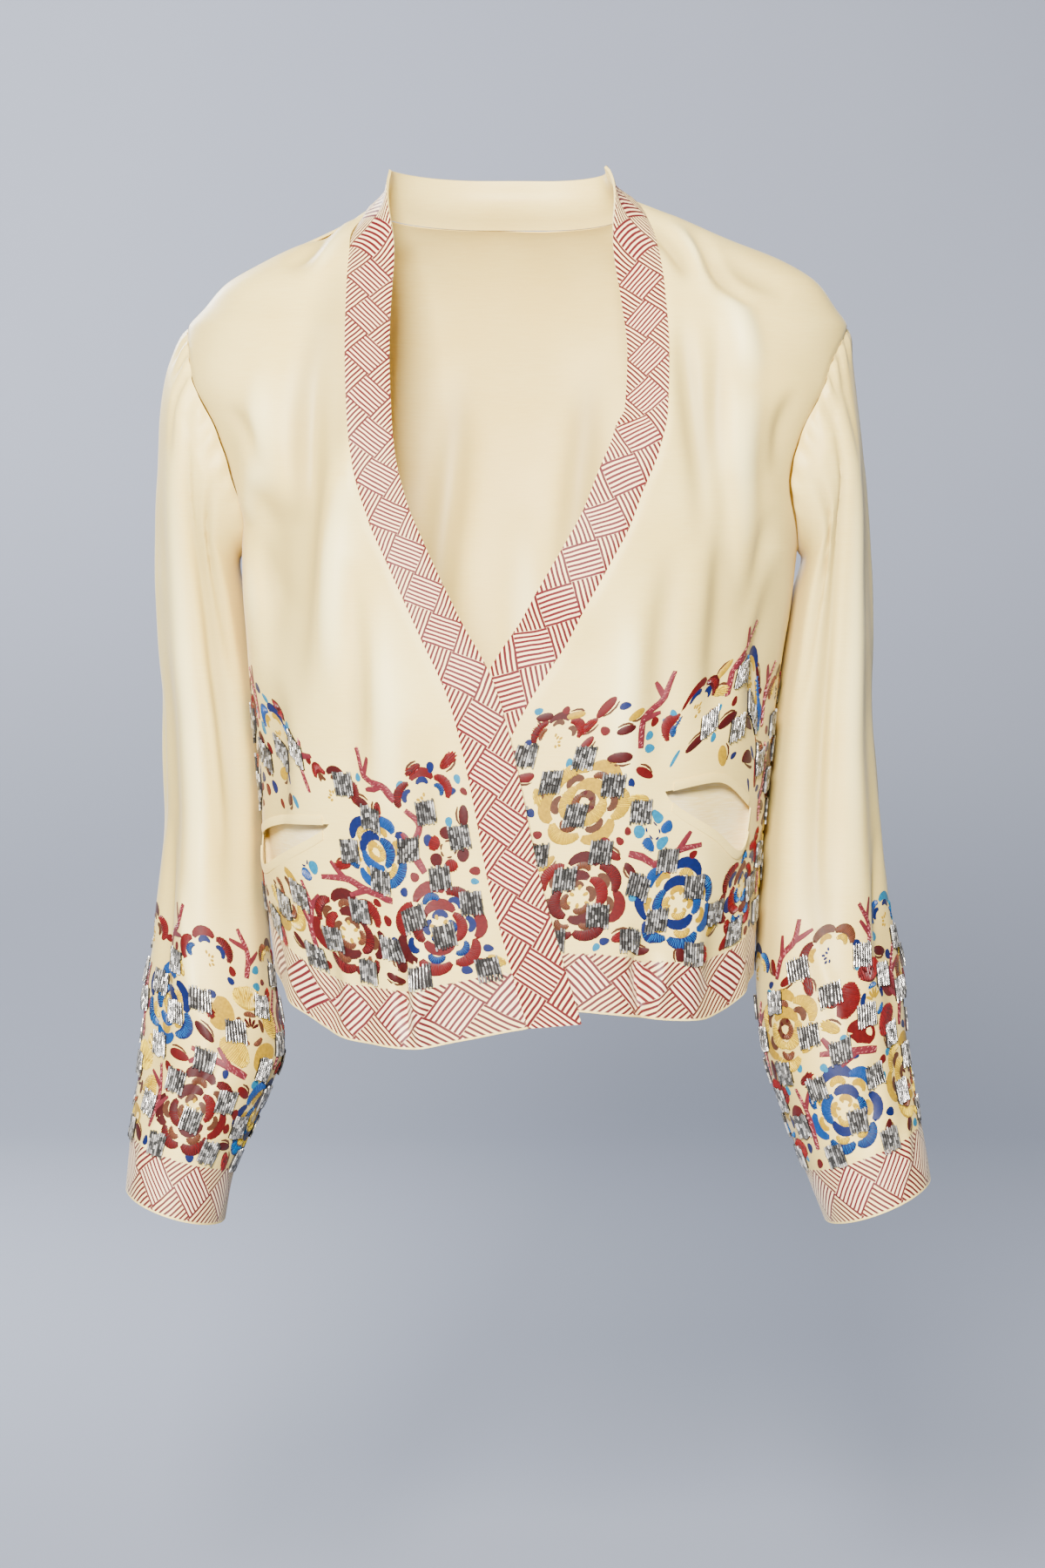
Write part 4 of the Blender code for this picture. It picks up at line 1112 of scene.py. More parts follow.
def standing(seam, lean):
    """Directions of a band that stands at the neck: along its width, out from the neck, and towards it."""
    inward = unit(np.array([ring_centre(0.0), 0.0]) - seam[:, :2])
    rise = unit(np.concatenate([inward * lean[:, None], np.ones((len(seam), 1))], axis=-1))
    out = unit(np.concatenate([-inward, lean[:, None]], axis=-1))
    level = np.concatenate([inward, np.zeros((len(seam), 1))], axis=-1)
    return rise, out, level


def band_cloth(name, seam, across, width, bow, shear, outward, finishes):
    """A band from its seam to its folded free edge, which rolls over a little; each block is a square."""
    shares = np.linspace(0, 1, BAND_STEPS + 1)
    rows = []
    for share in shares:
        roll = FREE_EDGE_ROLL * smooth((share - 1 + ROLL_SHARE) / ROLL_SHARE)
        roll = roll + SEAM_DIP * math.exp(-(share / BAND_SEAM_SHARE) ** 2)
        bent = shear * share + bow * math.sin(math.pi * share) - outward * roll
        rows.append(seam + across * (width * share)[:, None] + bent)
    step = np.linalg.norm(np.diff(seam, axis=0), axis=-1)
    blocks = np.concatenate([[0.0], np.cumsum(2 * step / (width[1:] + width[:-1]))])
    places = np.stack(np.meshgrid(blocks, shares, indexing="ij"), axis=-1)
    normals = np.repeat(outward[:, None], len(shares), axis=1)
    return shell(name, np.stack(rows, axis=1), normals, BAND_WALL, finishes, places)


def front_band(name, side, finishes):
    v = np.linspace(0, 1, PANEL_ROWS * REFINE + 1)
    phi, z = front_places(side, np.zeros_like(v), v)
    seam = body_surface(phi, z, side)
    normal = form_normal(phi, z)
    along = unit(np.gradient(seam, axis=0))
    lift = smooth((z + BAND_STAND) / BAND_STAND)[:, None]
    flat = unit(np.cross(normal, along)) * side
    turn = np.radians(band_turn[side](z))[:, None]
    flat, flat_out = flat * np.cos(turn) - normal * np.sin(turn), normal * np.cos(turn) + flat * np.sin(turn)
    rise, out, level = standing(seam, np.full(len(v), NECK_LEAN[side]))
    across = unit(flat * (1 - lift) + rise * lift)
    outward = unit(flat_out * (1 - lift) + out * lift)
    shear = along * (-BAND_HEM_SLANT * smooth(1 - v / SLANT_SHARE))[:, None]
    bow = level * NECK_BOW * lift
    return band_cloth(name, seam, across, band_width[side](z), bow, shear, outward, finishes)


def neck_band(name, finishes):
    s = np.linspace(-1, 1, NECK_STEPS + 1)
    phi, z = neck_places(s)
    seam = body_surface(phi, z, 0)
    lean = curve([-1, 0, 1], [NECK_LEAN[-1], NECK_LEAN[0], NECK_LEAN[1]])(s)
    ends = [band_width[-1](NECK_RISE[-1]), NECK_BAND_WIDTH, band_width[1](NECK_RISE[1])]
    width = curve([-1, 0, 1], ends)(s)
    rise, out, level = standing(seam, lean)
    return band_cloth(name, seam, rise, width, level * NECK_BOW, np.zeros_like(seam), out, finishes)


def pocket_pieces(side, panel, plain, outward, bag_silk, edge_silk):
    """The bag behind a pocket mouth and the two bound edges that lie along its lips."""
    pocket = POCKETS[side]
    tag = "right" if side < 0 else "left"
    lip = panel.lip
    low = lip - pocket.bag_rows * REFINE
    high = lip + 1 + REFINE
    first = pocket.bag_first * REFINE
    last = int(round(pocket.bag_last * REFINE))
    rows = [r for r in range(low, high + 1) if r != lip]
    a = np.linspace(0, 1, last - first + 1)[None, :]
    b = np.linspace(0, 1, len(rows))[:, None]
    bulge = np.clip(np.sin(math.pi * a) * np.sin(math.pi * b), 0, 1) ** BAG_FULLNESS
    out = outward[rows][:, first:last + 1]
    rim = (1 - smooth(bulge * BAG_RIM))[..., None]
    source = panel.points[rows][:, first:last + 1] * rim + plain[rows][:, first:last + 1] * (1 - rim)
    sheet = source - out * (SILK_WALL + BAG_CLEARANCE + bulge * POCKET_DEPTH)[..., None]
    name = "pocket_bag_" + tag
    made = [(shell(name + "_silk", sheet, out, SILK_WALL, [bag_silk]), name)]
    inside = slice(panel.slit[0] + 2, panel.slit[1] - 1)
    steps = np.linspace(0, 1, EDGE_STEPS + 1)
    for part, row, way in (("upper", lip + 1, 1), ("lower", lip, -1)):
        edge = panel.points[row, inside]
        beyond = panel.points[row + way * 3 * REFINE // 2, inside]
        direction = unit(beyond - edge)
        normal = panel.normals[row, inside]
        strip = []
        for step in steps:
            crown = EDGE_REST + EDGE_CROWN * math.sin(math.pi * (0.12 + 0.76 * step))
            strip.append(edge + direction * (EDGE_WIDTH * step - EDGE_OVERHANG) + normal * crown)
        normals = np.repeat(normal[None], len(steps), axis=0)
        name = "pocket_edge_" + tag + "_" + part
        made.append((shell(name + "_silk", np.stack(strip), normals, SILK_WALL, [edge_silk]), name))
    return made


# Embroidery and beads
def quaternions(forward, up):
    """Turns that lay a shape's length along one direction and its top along another."""
    side = unit(np.cross(up, forward))
    top = np.cross(forward, side)
    turned = np.stack([forward, side, top], axis=-1)
    return np.array([Matrix(m.tolist()).to_quaternion() for m in turned])


def copies_tree():
    """Geometry nodes that set a copy of a shape on every point, turned, stretched and dyed as it says."""
    tree, given, result = node_group(
        "sewn_copies",
        [("Points", "NodeSocketGeometry", None), ("Shape", "NodeSocketObject", None),
         ("Finish", "NodeSocketMaterial", None)],
        [("Copies", "NodeSocketGeometry")], "GeometryNodeTree")

    def kept_value(label, kind):
        made = add_node(tree, "GeometryNodeInputNamedAttribute", {"Name": label}, data_type=kind)
        return made.outputs["Attribute"]

    shape = add_node(tree, "GeometryNodeObjectInfo", {"Object": given["Shape"]})
    points = add_node(tree, "GeometryNodeMeshToPoints", {"Mesh": given["Points"]})
    copies = add_node(tree, "GeometryNodeInstanceOnPoints", {
        "Points": points.outputs[0], "Instance": shape.outputs["Geometry"],
        "Rotation": kept_value("turn", "QUATERNION"), "Scale": kept_value("stretch", "FLOAT_VECTOR")})
    real = add_node(tree, "GeometryNodeRealizeInstances", {0: copies.outputs[0]})
    painted = add_node(tree, "GeometryNodeSetMaterial", {
        "Geometry": real.outputs[0], "Material": given["Finish"]})
    tree.links.new(painted.outputs[0], result[0])
    return tree


def set_copies(name, tree, shape, finish, points, turns, stretches, dyes):
    """Run the copies tree on a set of points and keep its result as a plain mesh."""
    seeds = new_mesh(name + "_points", points.tolist(), [])
    set_values(seeds, "turn", "QUATERNION", "value", turns)
    set_values(seeds, "stretch", "FLOAT_VECTOR", "vector", stretches)
    set_values(seeds, "dye", "FLOAT_COLOR", "color", dyes)
    holder = stand(name + "_points", seeds)
    modifier = holder.modifiers.new("copies", "NODES")
    modifier.node_group = tree
    given = {"Shape": shape, "Finish": finish}
    for item in tree.interface.items_tree:
        if item.name in given:
            modifier[item.identifier] = given[item.name]
    bpy.context.view_layer.update()
    graph = bpy.context.evaluated_depsgraph_get()
    mesh = bpy.data.meshes.new_from_object(
        holder.evaluated_get(graph), preserve_all_data_layers=True, depsgraph=graph)
    mesh.name = name
    bpy.data.objects.remove(holder)
    return stand(name, mesh, SEWN_CREASE)


def stitch_shape():
    """One satin stitch of unit length, width and height: a low ridge that dives in at both ends."""
    stations = [(-0.5, 0.5, -0.2), (-0.28, 1.0, 0.95), (0.28, 1.0, 0.95), (0.5, 0.5, -0.2)]
    verts = []
    for x, wide, high in stations:
        low = min(high, 0.0) - 0.1
        verts += [(x, -0.5 * wide, low), (x, 0.0, high), (x, 0.5 * wide, low)]
    faces = []
    for a in range(0, 3 * (len(stations) - 1), 3):
        faces += [(a, a + 3, a + 4, a + 1), (a + 1, a + 4, a + 5, a + 2), (a + 2, a + 5, a + 3, a)]
    last = 3 * (len(stations) - 1)
    faces += [(0, 1, 2), (last, last + 2, last + 1)]
    return stand("stitch_shape", new_mesh("stitch_shape", verts, faces))


def bead_shape():
    """One bugle bead of unit length along its own x and unit diameter: a six-sided tube."""
    angles = np.radians(np.arange(0, 360, 60))
    verts = [(x, 0.5 * math.cos(a), 0.5 * math.sin(a)) for x in (-0.5, 0.5) for a in angles]
    n = len(angles)
    faces = [(k, (k + 1) % n, n + (k + 1) % n, n + k) for k in range(n)]
    faces += [tuple(range(n))[::-1], tuple(range(n, 2 * n))]
    return stand("bead_shape", new_mesh("bead_shape", verts, faces))


# Border of each panel: seed of its random draws, how high it rises, and where its bead squares begin and end
FRONT_SEED = 11
SLEEVE_SEED = 31
BACK_SEED = 51
FRONT_TOP = {-1: 0.178, 1: 0.200}
SLEEVE_TOP = 0.178
BACK_TOP = 0.185
BACK_DRAW_IN = 0.9
BEADS_FROM = 0.046
BEADS_ABOVE = 0.008

# Flowers of the border: kind, middle on the flat cloth, radius, petals, turn and span in degrees, dyes
Blossom = namedtuple("Blossom", "kind along up radius petals turn span palette")
Twig = namedtuple("Twig", "points width")

# Dyes of a flower: edge of a petal, its inner part, the edge of every third petal, seeds
PALETTES = {
    "wine": ("wine", "brown", "brick", "gold"),
    "marine": ("navy", "gold", "blue", "gold"),
    "sun": ("gold", "brown", "gold", "wine"),
    "brick": ("brick", "navy", "wine", "gold"),
    "earth": ("brown", "gold", "wine", "navy"),
    "sky": ("sky", "navy", "blue", "gold"),
}
FRONT_BLOSSOMS = {
    -1: table(
        Blossom, ("peony", 36, 74, 31, 7, 8, 360, "brick"), ("peony", 102, 72, 31, 7, 0, 360, "wine"),
        ("peony", 164, 76, 29, 6, 30, 360, "sun"), ("peony", 220, 78, 26, 6, 0, 360, "wine"),
        ("peony", 72, 128, 26, 6, 12, 360, "marine"), ("ring", 22, 122, 14, 6, 0, 360, "wine"),
        ("ring", 134, 112, 13, 6, 20, 360, "sky"), ("fan", 34, 154, 23, 3, 0, 180, "brick"),
        ("fan", 102, 160, 21, 3, -12, 170, "wine"), ("fan", 156, 154, 22, 3, 10, 180, "marine"),
        ("fan", 208, 150, 23, 3, 0, 190, "wine")),
    1: table(
        Blossom, ("peony", 64, 74, 31, 7, 0, 360, "wine"), ("peony", 130, 76, 31, 7, 12, 360, "marine"),
        ("peony", 194, 74, 30, 7, 0, 360, "brick"), ("peony", 254, 80, 29, 6, 20, 360, "sun"),
        ("peony", 58, 136, 30, 6, 0, 360, "sun"), ("ring", 106, 122, 13, 6, 10, 360, "sky"),
        ("ring", 164, 114, 13, 6, 0, 360, "wine"), ("peony", 250, 140, 28, 6, 15, 360, "wine"),
        ("fan", 30, 178, 21, 3, 0, 180, "wine"), ("fan", 124, 184, 23, 3, -8, 190, "brick"),
        ("fan", 180, 180, 24, 3, 8, 200, "marine"), ("fan", 230, 188, 21, 3, 0, 180, "earth")),
}
SLEEVE_BLOSSOMS = table(
    Blossom, ("peony", 30, 72, 30, 7, 0, 360, "wine"), ("broad", 94, 72, 29, 5, 20, 360, "sun"),
    ("peony", 158, 72, 31, 7, 0, 360, "wine"), ("peony", 224, 74, 30, 7, 10, 360, "marine"),
    ("ring", 270, 60, 13, 6, 0, 360, "sky"), ("peony", 284, 100, 24, 6, 0, 360, "earth"),
    ("peony", 62, 130, 29, 7, 10, 360, "brick"), ("peony", 126, 134, 28, 6, 30, 360, "marine"),
    ("broad", 192, 134, 28, 5, 0, 360, "sun"), ("peony", 250, 140, 27, 6, 10, 360, "brick"),
    ("ring", 18, 122, 14, 6, 0, 360, "wine"), ("fan", 94, 172, 22, 3, 0, 180, "wine"),
    ("fan", 162, 174, 22, 3, -10, 190, "brick"), ("fan", 222, 178, 20, 3, 10, 180, "earth"),
    ("fan", 290, 164, 22, 3, 0, 180, "marine"))
FRONT_TWIGS = {
    -1: [
        Twig([(64, 98), (84, 102), (100, 108), (118, 106)], 5.4),
        Twig([(40, 110), (46, 126), (40, 140), (48, 152)], 5.0),
        Twig([(54, 160), (62, 172), (76, 176), (80, 194)], 5.0),
        Twig([(124, 150), (130, 164), (128, 180)], 4.6),
        Twig([(182, 150), (182, 166), (192, 182)], 4.6),
        Twig([(132, 54), (134, 68), (130, 82), (136, 96)], 5.0),
    ],
    1: [
        Twig([(92, 104), (110, 102), (126, 110), (142, 114)], 5.4),
        Twig([(216, 108), (214, 122), (220, 140), (214, 160)], 5.2),
        Twig([(88, 172), (86, 190), (98, 206), (98, 224)], 5.2),
        Twig([(152, 178), (152, 194), (164, 206), (172, 220)], 5.2),
        Twig([(206, 174), (206, 196), (214, 214)], 4.8),
        Twig([(226, 56), (228, 72), (222, 90)], 5.0),
        Twig([(256, 176), (266, 192), (262, 212)], 4.8),
    ],
}
SLEEVE_TWIGS = [
    Twig([(36, 106), (38, 122), (32, 142), (42, 160)], 5.2),
    Twig([(94, 104), (96, 120), (92, 140), (98, 154)], 5.2),
    Twig([(126, 52), (128, 72), (124, 94)], 4.8),
    Twig([(190, 102), (176, 106), (160, 110), (150, 112)], 5.4),
    Twig([(122, 168), (128, 182), (138, 190), (142, 204)], 4.8),
    Twig([(192, 168), (194, 182), (186, 200)], 4.6),
    Twig([(222, 108), (224, 126), (218, 144), (226, 162)], 5.0),
    Twig([(14, 146), (20, 168), (14, 188)], 4.6),
]

# Parts of a cupped petal as shares of its width: radius and thickness of the curve, sweep in degrees
PetalPart = namedtuple("PetalPart", "radius thick sweep")


class Border:
    """Collects the print, stitches and beads of one panel on its flat cloth, then sets them on the panel."""

    # Squares of beads: half a square, its beads, and how bright each bead is painted at random, as painted
    # glints and painted shade
    SQUARE = 0.0075
    SQUARE_SPACING = 0.0205
    SQUARE_DRIFT = (0.0035, 0.004)
    TOP_ROW_SHARE = 0.5
    BEAD_COLUMNS = 8
    BEAD_ROWS = 6
    BEAD_LENGTH = 0.0025
    BEAD_ACROSS = 0.00142
    BEAD_SLIDE = 0.0009
    BEAD_PAINTED_DARK = 0.06
    BEAD_GLINT_RANGE = 0.74
    BEAD_GLINT_RARITY = 2.4
    BEAD_TINT = (1.0, 0.97, 0.90)

    # Heights over the cloth
    UNDER = -0.0001
    FLAT = 0.00026
    TIP = 0.0001
    CROWN = 0.0004
    LEAF_CROWN = 0.0003
    SPUR_CROWN = 0.0002
    STITCH = 0.0007
    STITCH_LIFT = 0.0003
    GROUND_LIFT = 0.0010
    GROUND_EDGE = 0.0009
    BEAD_LIFT = 0.0016

    # Sizes of stitches, petals, spurs, leaves and berries
    PITCH = 0.00118
    SPECK = (0.0021, 0.0008)
    LONG_LOBE = 0.009
    PETAL_EDGE = PetalPart(0.56, 0.40, 124)
    PETAL_HEART = PetalPart(0.25, 0.25, 150)
    SPUR = 0.014
    LEAF = 0.0078
    BERRY = 0.0040

    # Limits on the flat cloth
    LOWEST = HEM_PRINT + 0.0035
    MOUTH_MARGIN = 0.0075
    BEAD_MARGIN = 0.013
    EDGE_MARGIN = 0.0008
    OFF_EDGE = 0.001
    TURN_REACH = 0.001
    MOST_SAG = 0.0003

    def __init__(self, panel, seed):
        self.panel = panel
        self.random = np.random.RandomState(seed)
        self.verts = []
        self.faces = []
        self.dyes = []
        self.count = 0
        self.stitches = []
        self.squares = []
        self.taken = []

    def turned(self, local, base, turn):
        angle = math.radians(turn)
        rotate = np.array([[math.cos(angle), math.sin(angle)], [-math.sin(angle), math.cos(angle)]])
        return np.asarray(local) @ rotate.T + np.asarray(base)

    def spot(self, away, base, turn):
        """One place at a distance from a base, in the direction of a turn."""
        return self.turned([[0.0, away]], base, turn)[0]

    def kept(self, flat):
        """Flat places cut off at the panel's edges, or nothing where a pocket mouth or the hem print is."""
        panel = self.panel
        s, h = flat.T
        margin = 0.0 if panel.wrap else self.EDGE_MARGIN
        if h.mean() < self.LOWEST or panel.near_mouth(s, h, self.MOUTH_MARGIN).any():
            return None
        if panel.wrap:
            s = s - panel.width * math.floor(s.mean() / panel.width)
        elif s.max() < self.OFF_EDGE or s.min() > panel.width - self.OFF_EDGE:
            return None
        if panel.lip is not None:
            col = panel.column_at(s)
            sides = np.sign(h - panel.lip_height(col))[(col > panel.slit[0]) & (col < panel.slit[1])]
            if len(sides) and abs(sides.sum()) < len(sides):
                return None
        return np.stack([np.clip(s, margin, panel.width - margin), np.maximum(h, self.LOWEST)], axis=-1)

    def solid(self, rings, dye):
        """Closed patch from rings of flat places with a lift each; the end rings are single points."""
        flat = self.kept(np.concatenate([places for places, _ in rings]))
        if flat is None:
            return False
        lift = np.concatenate([np.broadcast_to(high, len(places)) for places, high in rings])
        points, _ = self.panel.place(flat[:, 0], flat[:, 1], lift)
        start = self.count
        n = len(rings[1][0])
        faces = [(start, start + 1 + k, start + 1 + (k + 1) % n) for k in range(n)]
        for ring in range(len(rings) - 3):
            a = start + 1 + ring * n
            faces += [(a + k, a + n + k, a + n + (k + 1) % n, a + (k + 1) % n) for k in range(n)]
        a = start + 1 + (len(rings) - 3) * n
        end = start + len(flat) - 1
        faces += [(end, a + (k + 1) % n, a + k) for k in range(n)]
        self.verts.append(points)
        self.faces += faces
        self.dyes.append(np.tile(DYES[dye], (len(flat), 1)))
        self.count += len(flat)
        return True

    def lobe(self, base, turn, length, width, dye, crown=0.0, fat=0.22, sides=14, scallop=0.0):
        """Egg-shaped patch that stands on its base; fat widens its far end, scallop waves its far edge."""
        t = np.linspace(0, 2 * math.pi, sides + 1)[:-1]
        wave = 1 + scallop * np.clip(np.sin(t), 0, 1) * np.cos(8 * (t - math.pi / 2))
        across = width / 2 * np.cos(t) * (1 + fat * np.sin(t)) * wave
        along = length / 2 * (1 + np.sin(t) * wave)
        outline = np.stack([across, along], axis=-1)
        core = np.array([[0.0, length * 0.55]])
        steps = [(1.0, self.FLAT), (1.0, self.UNDER)]
        if crown:
            steps = [(0.55, self.FLAT + crown * 0.85), (0.88, self.FLAT + crown * 0.4)] + steps
        rings = [(core, self.FLAT + self.TIP + crown)]
        rings += [(core + (outline - core) * share, high) for share, high in steps]
        rings.append((core, self.UNDER))
        return self.solid([(self.turned(ring, base, turn), high) for ring, high in rings], dye)

    def ribbon(self, path, widths, dye, crown=0.0):
        """Low rounded strip along a line of flat places, with its own width at each."""
        path = np.asarray(path)
        along = unit(np.gradient(path, axis=0))
        beside = np.stack([-along[:, 1], along[:, 0]], axis=-1)
        half = np.asarray(widths) / 2
        section = np.array([-1.0, -0.5, 0.5, 1.0, 0.0])[:, None]
        lifts = np.array([self.FLAT, self.FLAT + crown, self.FLAT + crown, self.FLAT, self.UNDER])
        rings = [(path[:1], self.FLAT)]
        rings += [(path[k] + beside[k] * half[k] * section, lifts) for k in range(len(path))]
        rings.append((path[-1:], self.FLAT))
        return self.solid(rings, dye)

    def square_painted_shadow(self, s, h, turn):
        """Dark sheet under a bead square: painted shadow that shows between its columns."""
        steps = np.linspace(-1, 1, 4)[:-1]
        one = np.ones(3)
        sides = [(steps, -one), (one, steps), (-steps, one), (-one, -steps)]
        outline = np.concatenate([np.stack(side, axis=-1) for side in sides]) * self.SQUARE * 0.93
        core = np.zeros((1, 2))
        inner = outline * 0.5
        rings = [(core, self.GROUND_LIFT), (inner, self.GROUND_LIFT), (outline, self.GROUND_EDGE)]
        rings += [(outline, self.UNDER), (inner, self.UNDER), (core, self.UNDER)]
        return self.solid([(self.turned(ring, (s, h), turn), high) for ring, high in rings], "shadow")

    def sew(self, middle, direction, length, width, dye):
        self.stitches.append((*middle, *direction, length, width, self.STITCH, dye))

    def sew_lobe(self, base, turn, length, width, dye):
        """Satin stitches side by side along a lobe, long and short ones in turn where it is long."""
        count = max(3, int(width / self.PITCH))
        for k in range(count):
            a = (k + 0.5) / count * 2 - 1
            half = length / 2 * math.sqrt(1 - a * a) * self.random.uniform(0.92, 1.02)
            ahead = self.spot(1.0, (0, 0), turn + a * 14)
            ends = [-half, half]
            if length > self.LONG_LOBE:
                ends.insert(1, half * self.random.uniform(-0.5, 0.5))
            for low, high in zip(ends[:-1], ends[1:]):
                place = self.turned([[a * width / 2, length * 0.53 + (low + high) / 2]], base, turn)[0]
                self.sew(place, ahead, (high - low) * 1.1, width / count * 0.9, dye)

    def sew_line(self, path, widths, dye):
        """Satin stitches laid across a line."""
        run = np.concatenate([[0], np.cumsum(np.linalg.norm(np.diff(path, axis=0), axis=-1))])
        ahead = unit(np.gradient(path, axis=0))
        for distance in np.arange(self.PITCH / 2, run[-1], self.PITCH):
            place = np.array([np.interp(distance, run, path[:, k]) for k in (0, 1)])
            way = np.array([np.interp(distance, run, ahead[:, k]) for k in (0, 1)])
            across = self.turned([way], (0, 0), 90 + self.random.uniform(-12, 12))[0]
            length = np.interp(distance, run, widths) * self.random.uniform(0.9, 1.08)
            self.sew(place, across, length, self.PITCH * 0.86, dye)

    def speckle(self, path, widths):
        """Short pale stitches scattered along a branch."""
        beside = unit(np.stack([-np.gradient(path[:, 1]), np.gradient(path[:, 0])], axis=-1))
        for k in range(len(path) - 1):
            for _ in range(3):
                share = self.random.uniform()
                off = self.random.uniform(-0.34, 0.34) * widths[k]
                place = path[k] * (1 - share) + path[k + 1] * share + beside[k] * off
                way = self.turned([path[k + 1] - path[k]], (0, 0), self.random.uniform(20, 60))[0]
                self.sew(place, unit(way), *self.SPECK, "blush")

    def crescent(self, centre, turn, radius, thick, sweep, dye, sewn):
        """Curved part of a petal with blunt ends; a sewn one has satin stitches laid across it."""
        share = np.linspace(-1, 1, 9)
        angle = np.radians(sweep / 2) * share
        path = self.turned(radius * np.stack([np.sin(angle), np.cos(angle)], axis=-1), centre, turn)
        widths = thick * np.sqrt(1 - 0.82 * share ** 2)
        if self.ribbon(path, widths, dye, self.CROWN * sewn) and sewn:
            self.sew_line(path, widths, dye)

    def petal(self, centre, turn, width, outer, inner, sewn_outer, sewn_inner):
        """A cupped petal: a thick curved edge with a second one inside it, both about one middle."""
        for part, dye, sewn in ((self.PETAL_EDGE, outer, sewn_outer), (self.PETAL_HEART, inner, sewn_inner)):
            self.crescent(centre, turn, width * part.radius, width * part.thick, part.sweep, dye, sewn)

    def petal_ring(self, b, centre, count, radius, first):
        """Cupped petals side by side on a ring or a part of one; gives the radius that stays free inside."""
        outer, inner, third, _ = PALETTES[b.palette]
        step = b.span / count
        slope = math.tan(math.radians(step) / 2)
        width = 1.01 * radius * slope / (0.555 + 0.472 * slope)
        distance = radius - 0.76 * width
        for k in range(count):
            turn = b.turn + first + (k + 0.5) * step - b.span / 2
            middle = self.spot(distance * self.random.uniform(0.94, 1.04), centre, turn)
            size = width * self.random.uniform(0.92, 1.04)
            edge = third if k % 3 == 2 else outer
            self.petal(middle, turn + self.random.uniform(-7, 7), size, edge, inner, k % 2 == 0, k % 3 == 0)
        return distance + 0.17 * width

    def cupped_flower(self, b, centre, radius):
        """A full flower with two rings of cupped petals, or half of one."""
        free = self.petal_ring(b, centre, b.petals, radius, 0.0)
        if b.kind == "peony":
            self.petal_ring(b, centre, b.petals - 3, free - 0.001, 25.0)

    def broad_flower(self, b, centre, radius):
        """Wide scalloped petals, each with a curved foot of another dye."""
        outer, inner, third, seed = PALETTES[b.palette]
        step = b.span / b.petals
        for k in range(b.petals):
            turn = b.turn + (k + 0.5) * step - b.span / 2
            start = radius * 0.44
            length = radius * self.random.uniform(0.54, 0.62)
            wide = 1.42 * radius * math.sin(math.radians(step) / 2)
            foot = self.spot(start, centre, turn)
            sewn = k % 3 != 1
            dye = third if k % 3 == 2 else outer
            if self.lobe(foot, turn, length, wide, dye, self.CROWN * sewn, 0.2, 24, 0.07) and sewn:
                self.sew_lobe(foot, turn, length, wide, dye)
            self.crescent(centre, turn, radius * 0.36, radius * 0.14, step * 0.7, inner, k % 2 == 0)
        for k in range(5):
            turn = b.turn + 30 * k - 60
            foot = self.spot(radius * 0.05, centre, turn)
            self.lobe(foot, turn, radius * 0.24, radius * 0.07, seed, 0.0, 0.3, 10)

    def ring_flower(self, b, centre, radius):
        """A small flower: round petals about a pale middle."""
        outer, inner, third, _ = PALETTES[b.palette]
        step = b.span / b.petals
        for k in range(b.petals):
            turn = b.turn + k * step
            foot = self.spot(radius * 0.45, centre, turn)
            dye = third if k % 2 else outer
            wide = 1.34 * radius * math.sin(math.radians(step) / 2)
            if self.lobe(foot, turn, radius * 0.6, wide, dye, self.CROWN * (k % 2), 0.15) and k % 2:
                self.sew_lobe(foot, turn, radius * 0.6, wide, dye)
            self.crescent(centre, turn, radius * 0.38, radius * 0.10, step * 0.6, inner, False)

    def blossom(self, b):
        centre = np.array([b.along, b.up]) * MM
        radius = b.radius * MM
        self.taken.append((centre[0], centre[1], radius * (0.93 if b.span == 360 else 0.74)))
        if b.kind == "broad":
            self.broad_flower(b, centre, radius)
        elif b.kind == "ring":
            self.ring_flower(b, centre, radius)
        else:
            self.cupped_flower(b, centre, radius)
            for k in range(6):
                turn = b.turn + k * b.span / 6
                foot = self.spot(radius * (0.10 if k % 2 else 0.16), centre, turn)
                self.lobe(foot, turn, radius * 0.12, radius * 0.08, PALETTES[b.palette][3], 0.0, 0.1, 8)

    def twig(self, t):
        """A branch that tapers and forks, speckled with pale stitches."""
        points = np.array(t.points, float) * MM
        share = np.linspace(0, 1, len(points))
        fine = np.linspace(0, 1, 13)
        path = np.stack([curve(share, points[:, k])(fine) for k in (0, 1)], axis=-1)
        widths = t.width * MM * np.interp(fine, [0, 0.12, 0.6, 1.0], [0.8, 1.0, 0.9, 0.6])
        if self.ribbon(path, widths, "rose", self.LEAF_CROWN):
            self.speckle(path, widths)
        for k, way in ((4, 40), (8, -46)):
            ahead = unit(path[k + 1] - path[k])
            end = self.turned([ahead * self.SPUR], path[k], way)[0]
            spur = np.linspace(path[k], end, 5)
            taper = t.width * MM * np.array([0.85, 0.8, 0.75, 0.65, 0.45])
            self.ribbon(spur, taper, "rose", self.SPUR_CROWN)
        for k in range(0, 13, 3):
            self.taken.append((path[k, 0], path[k, 1], t.width * MM * 0.8))

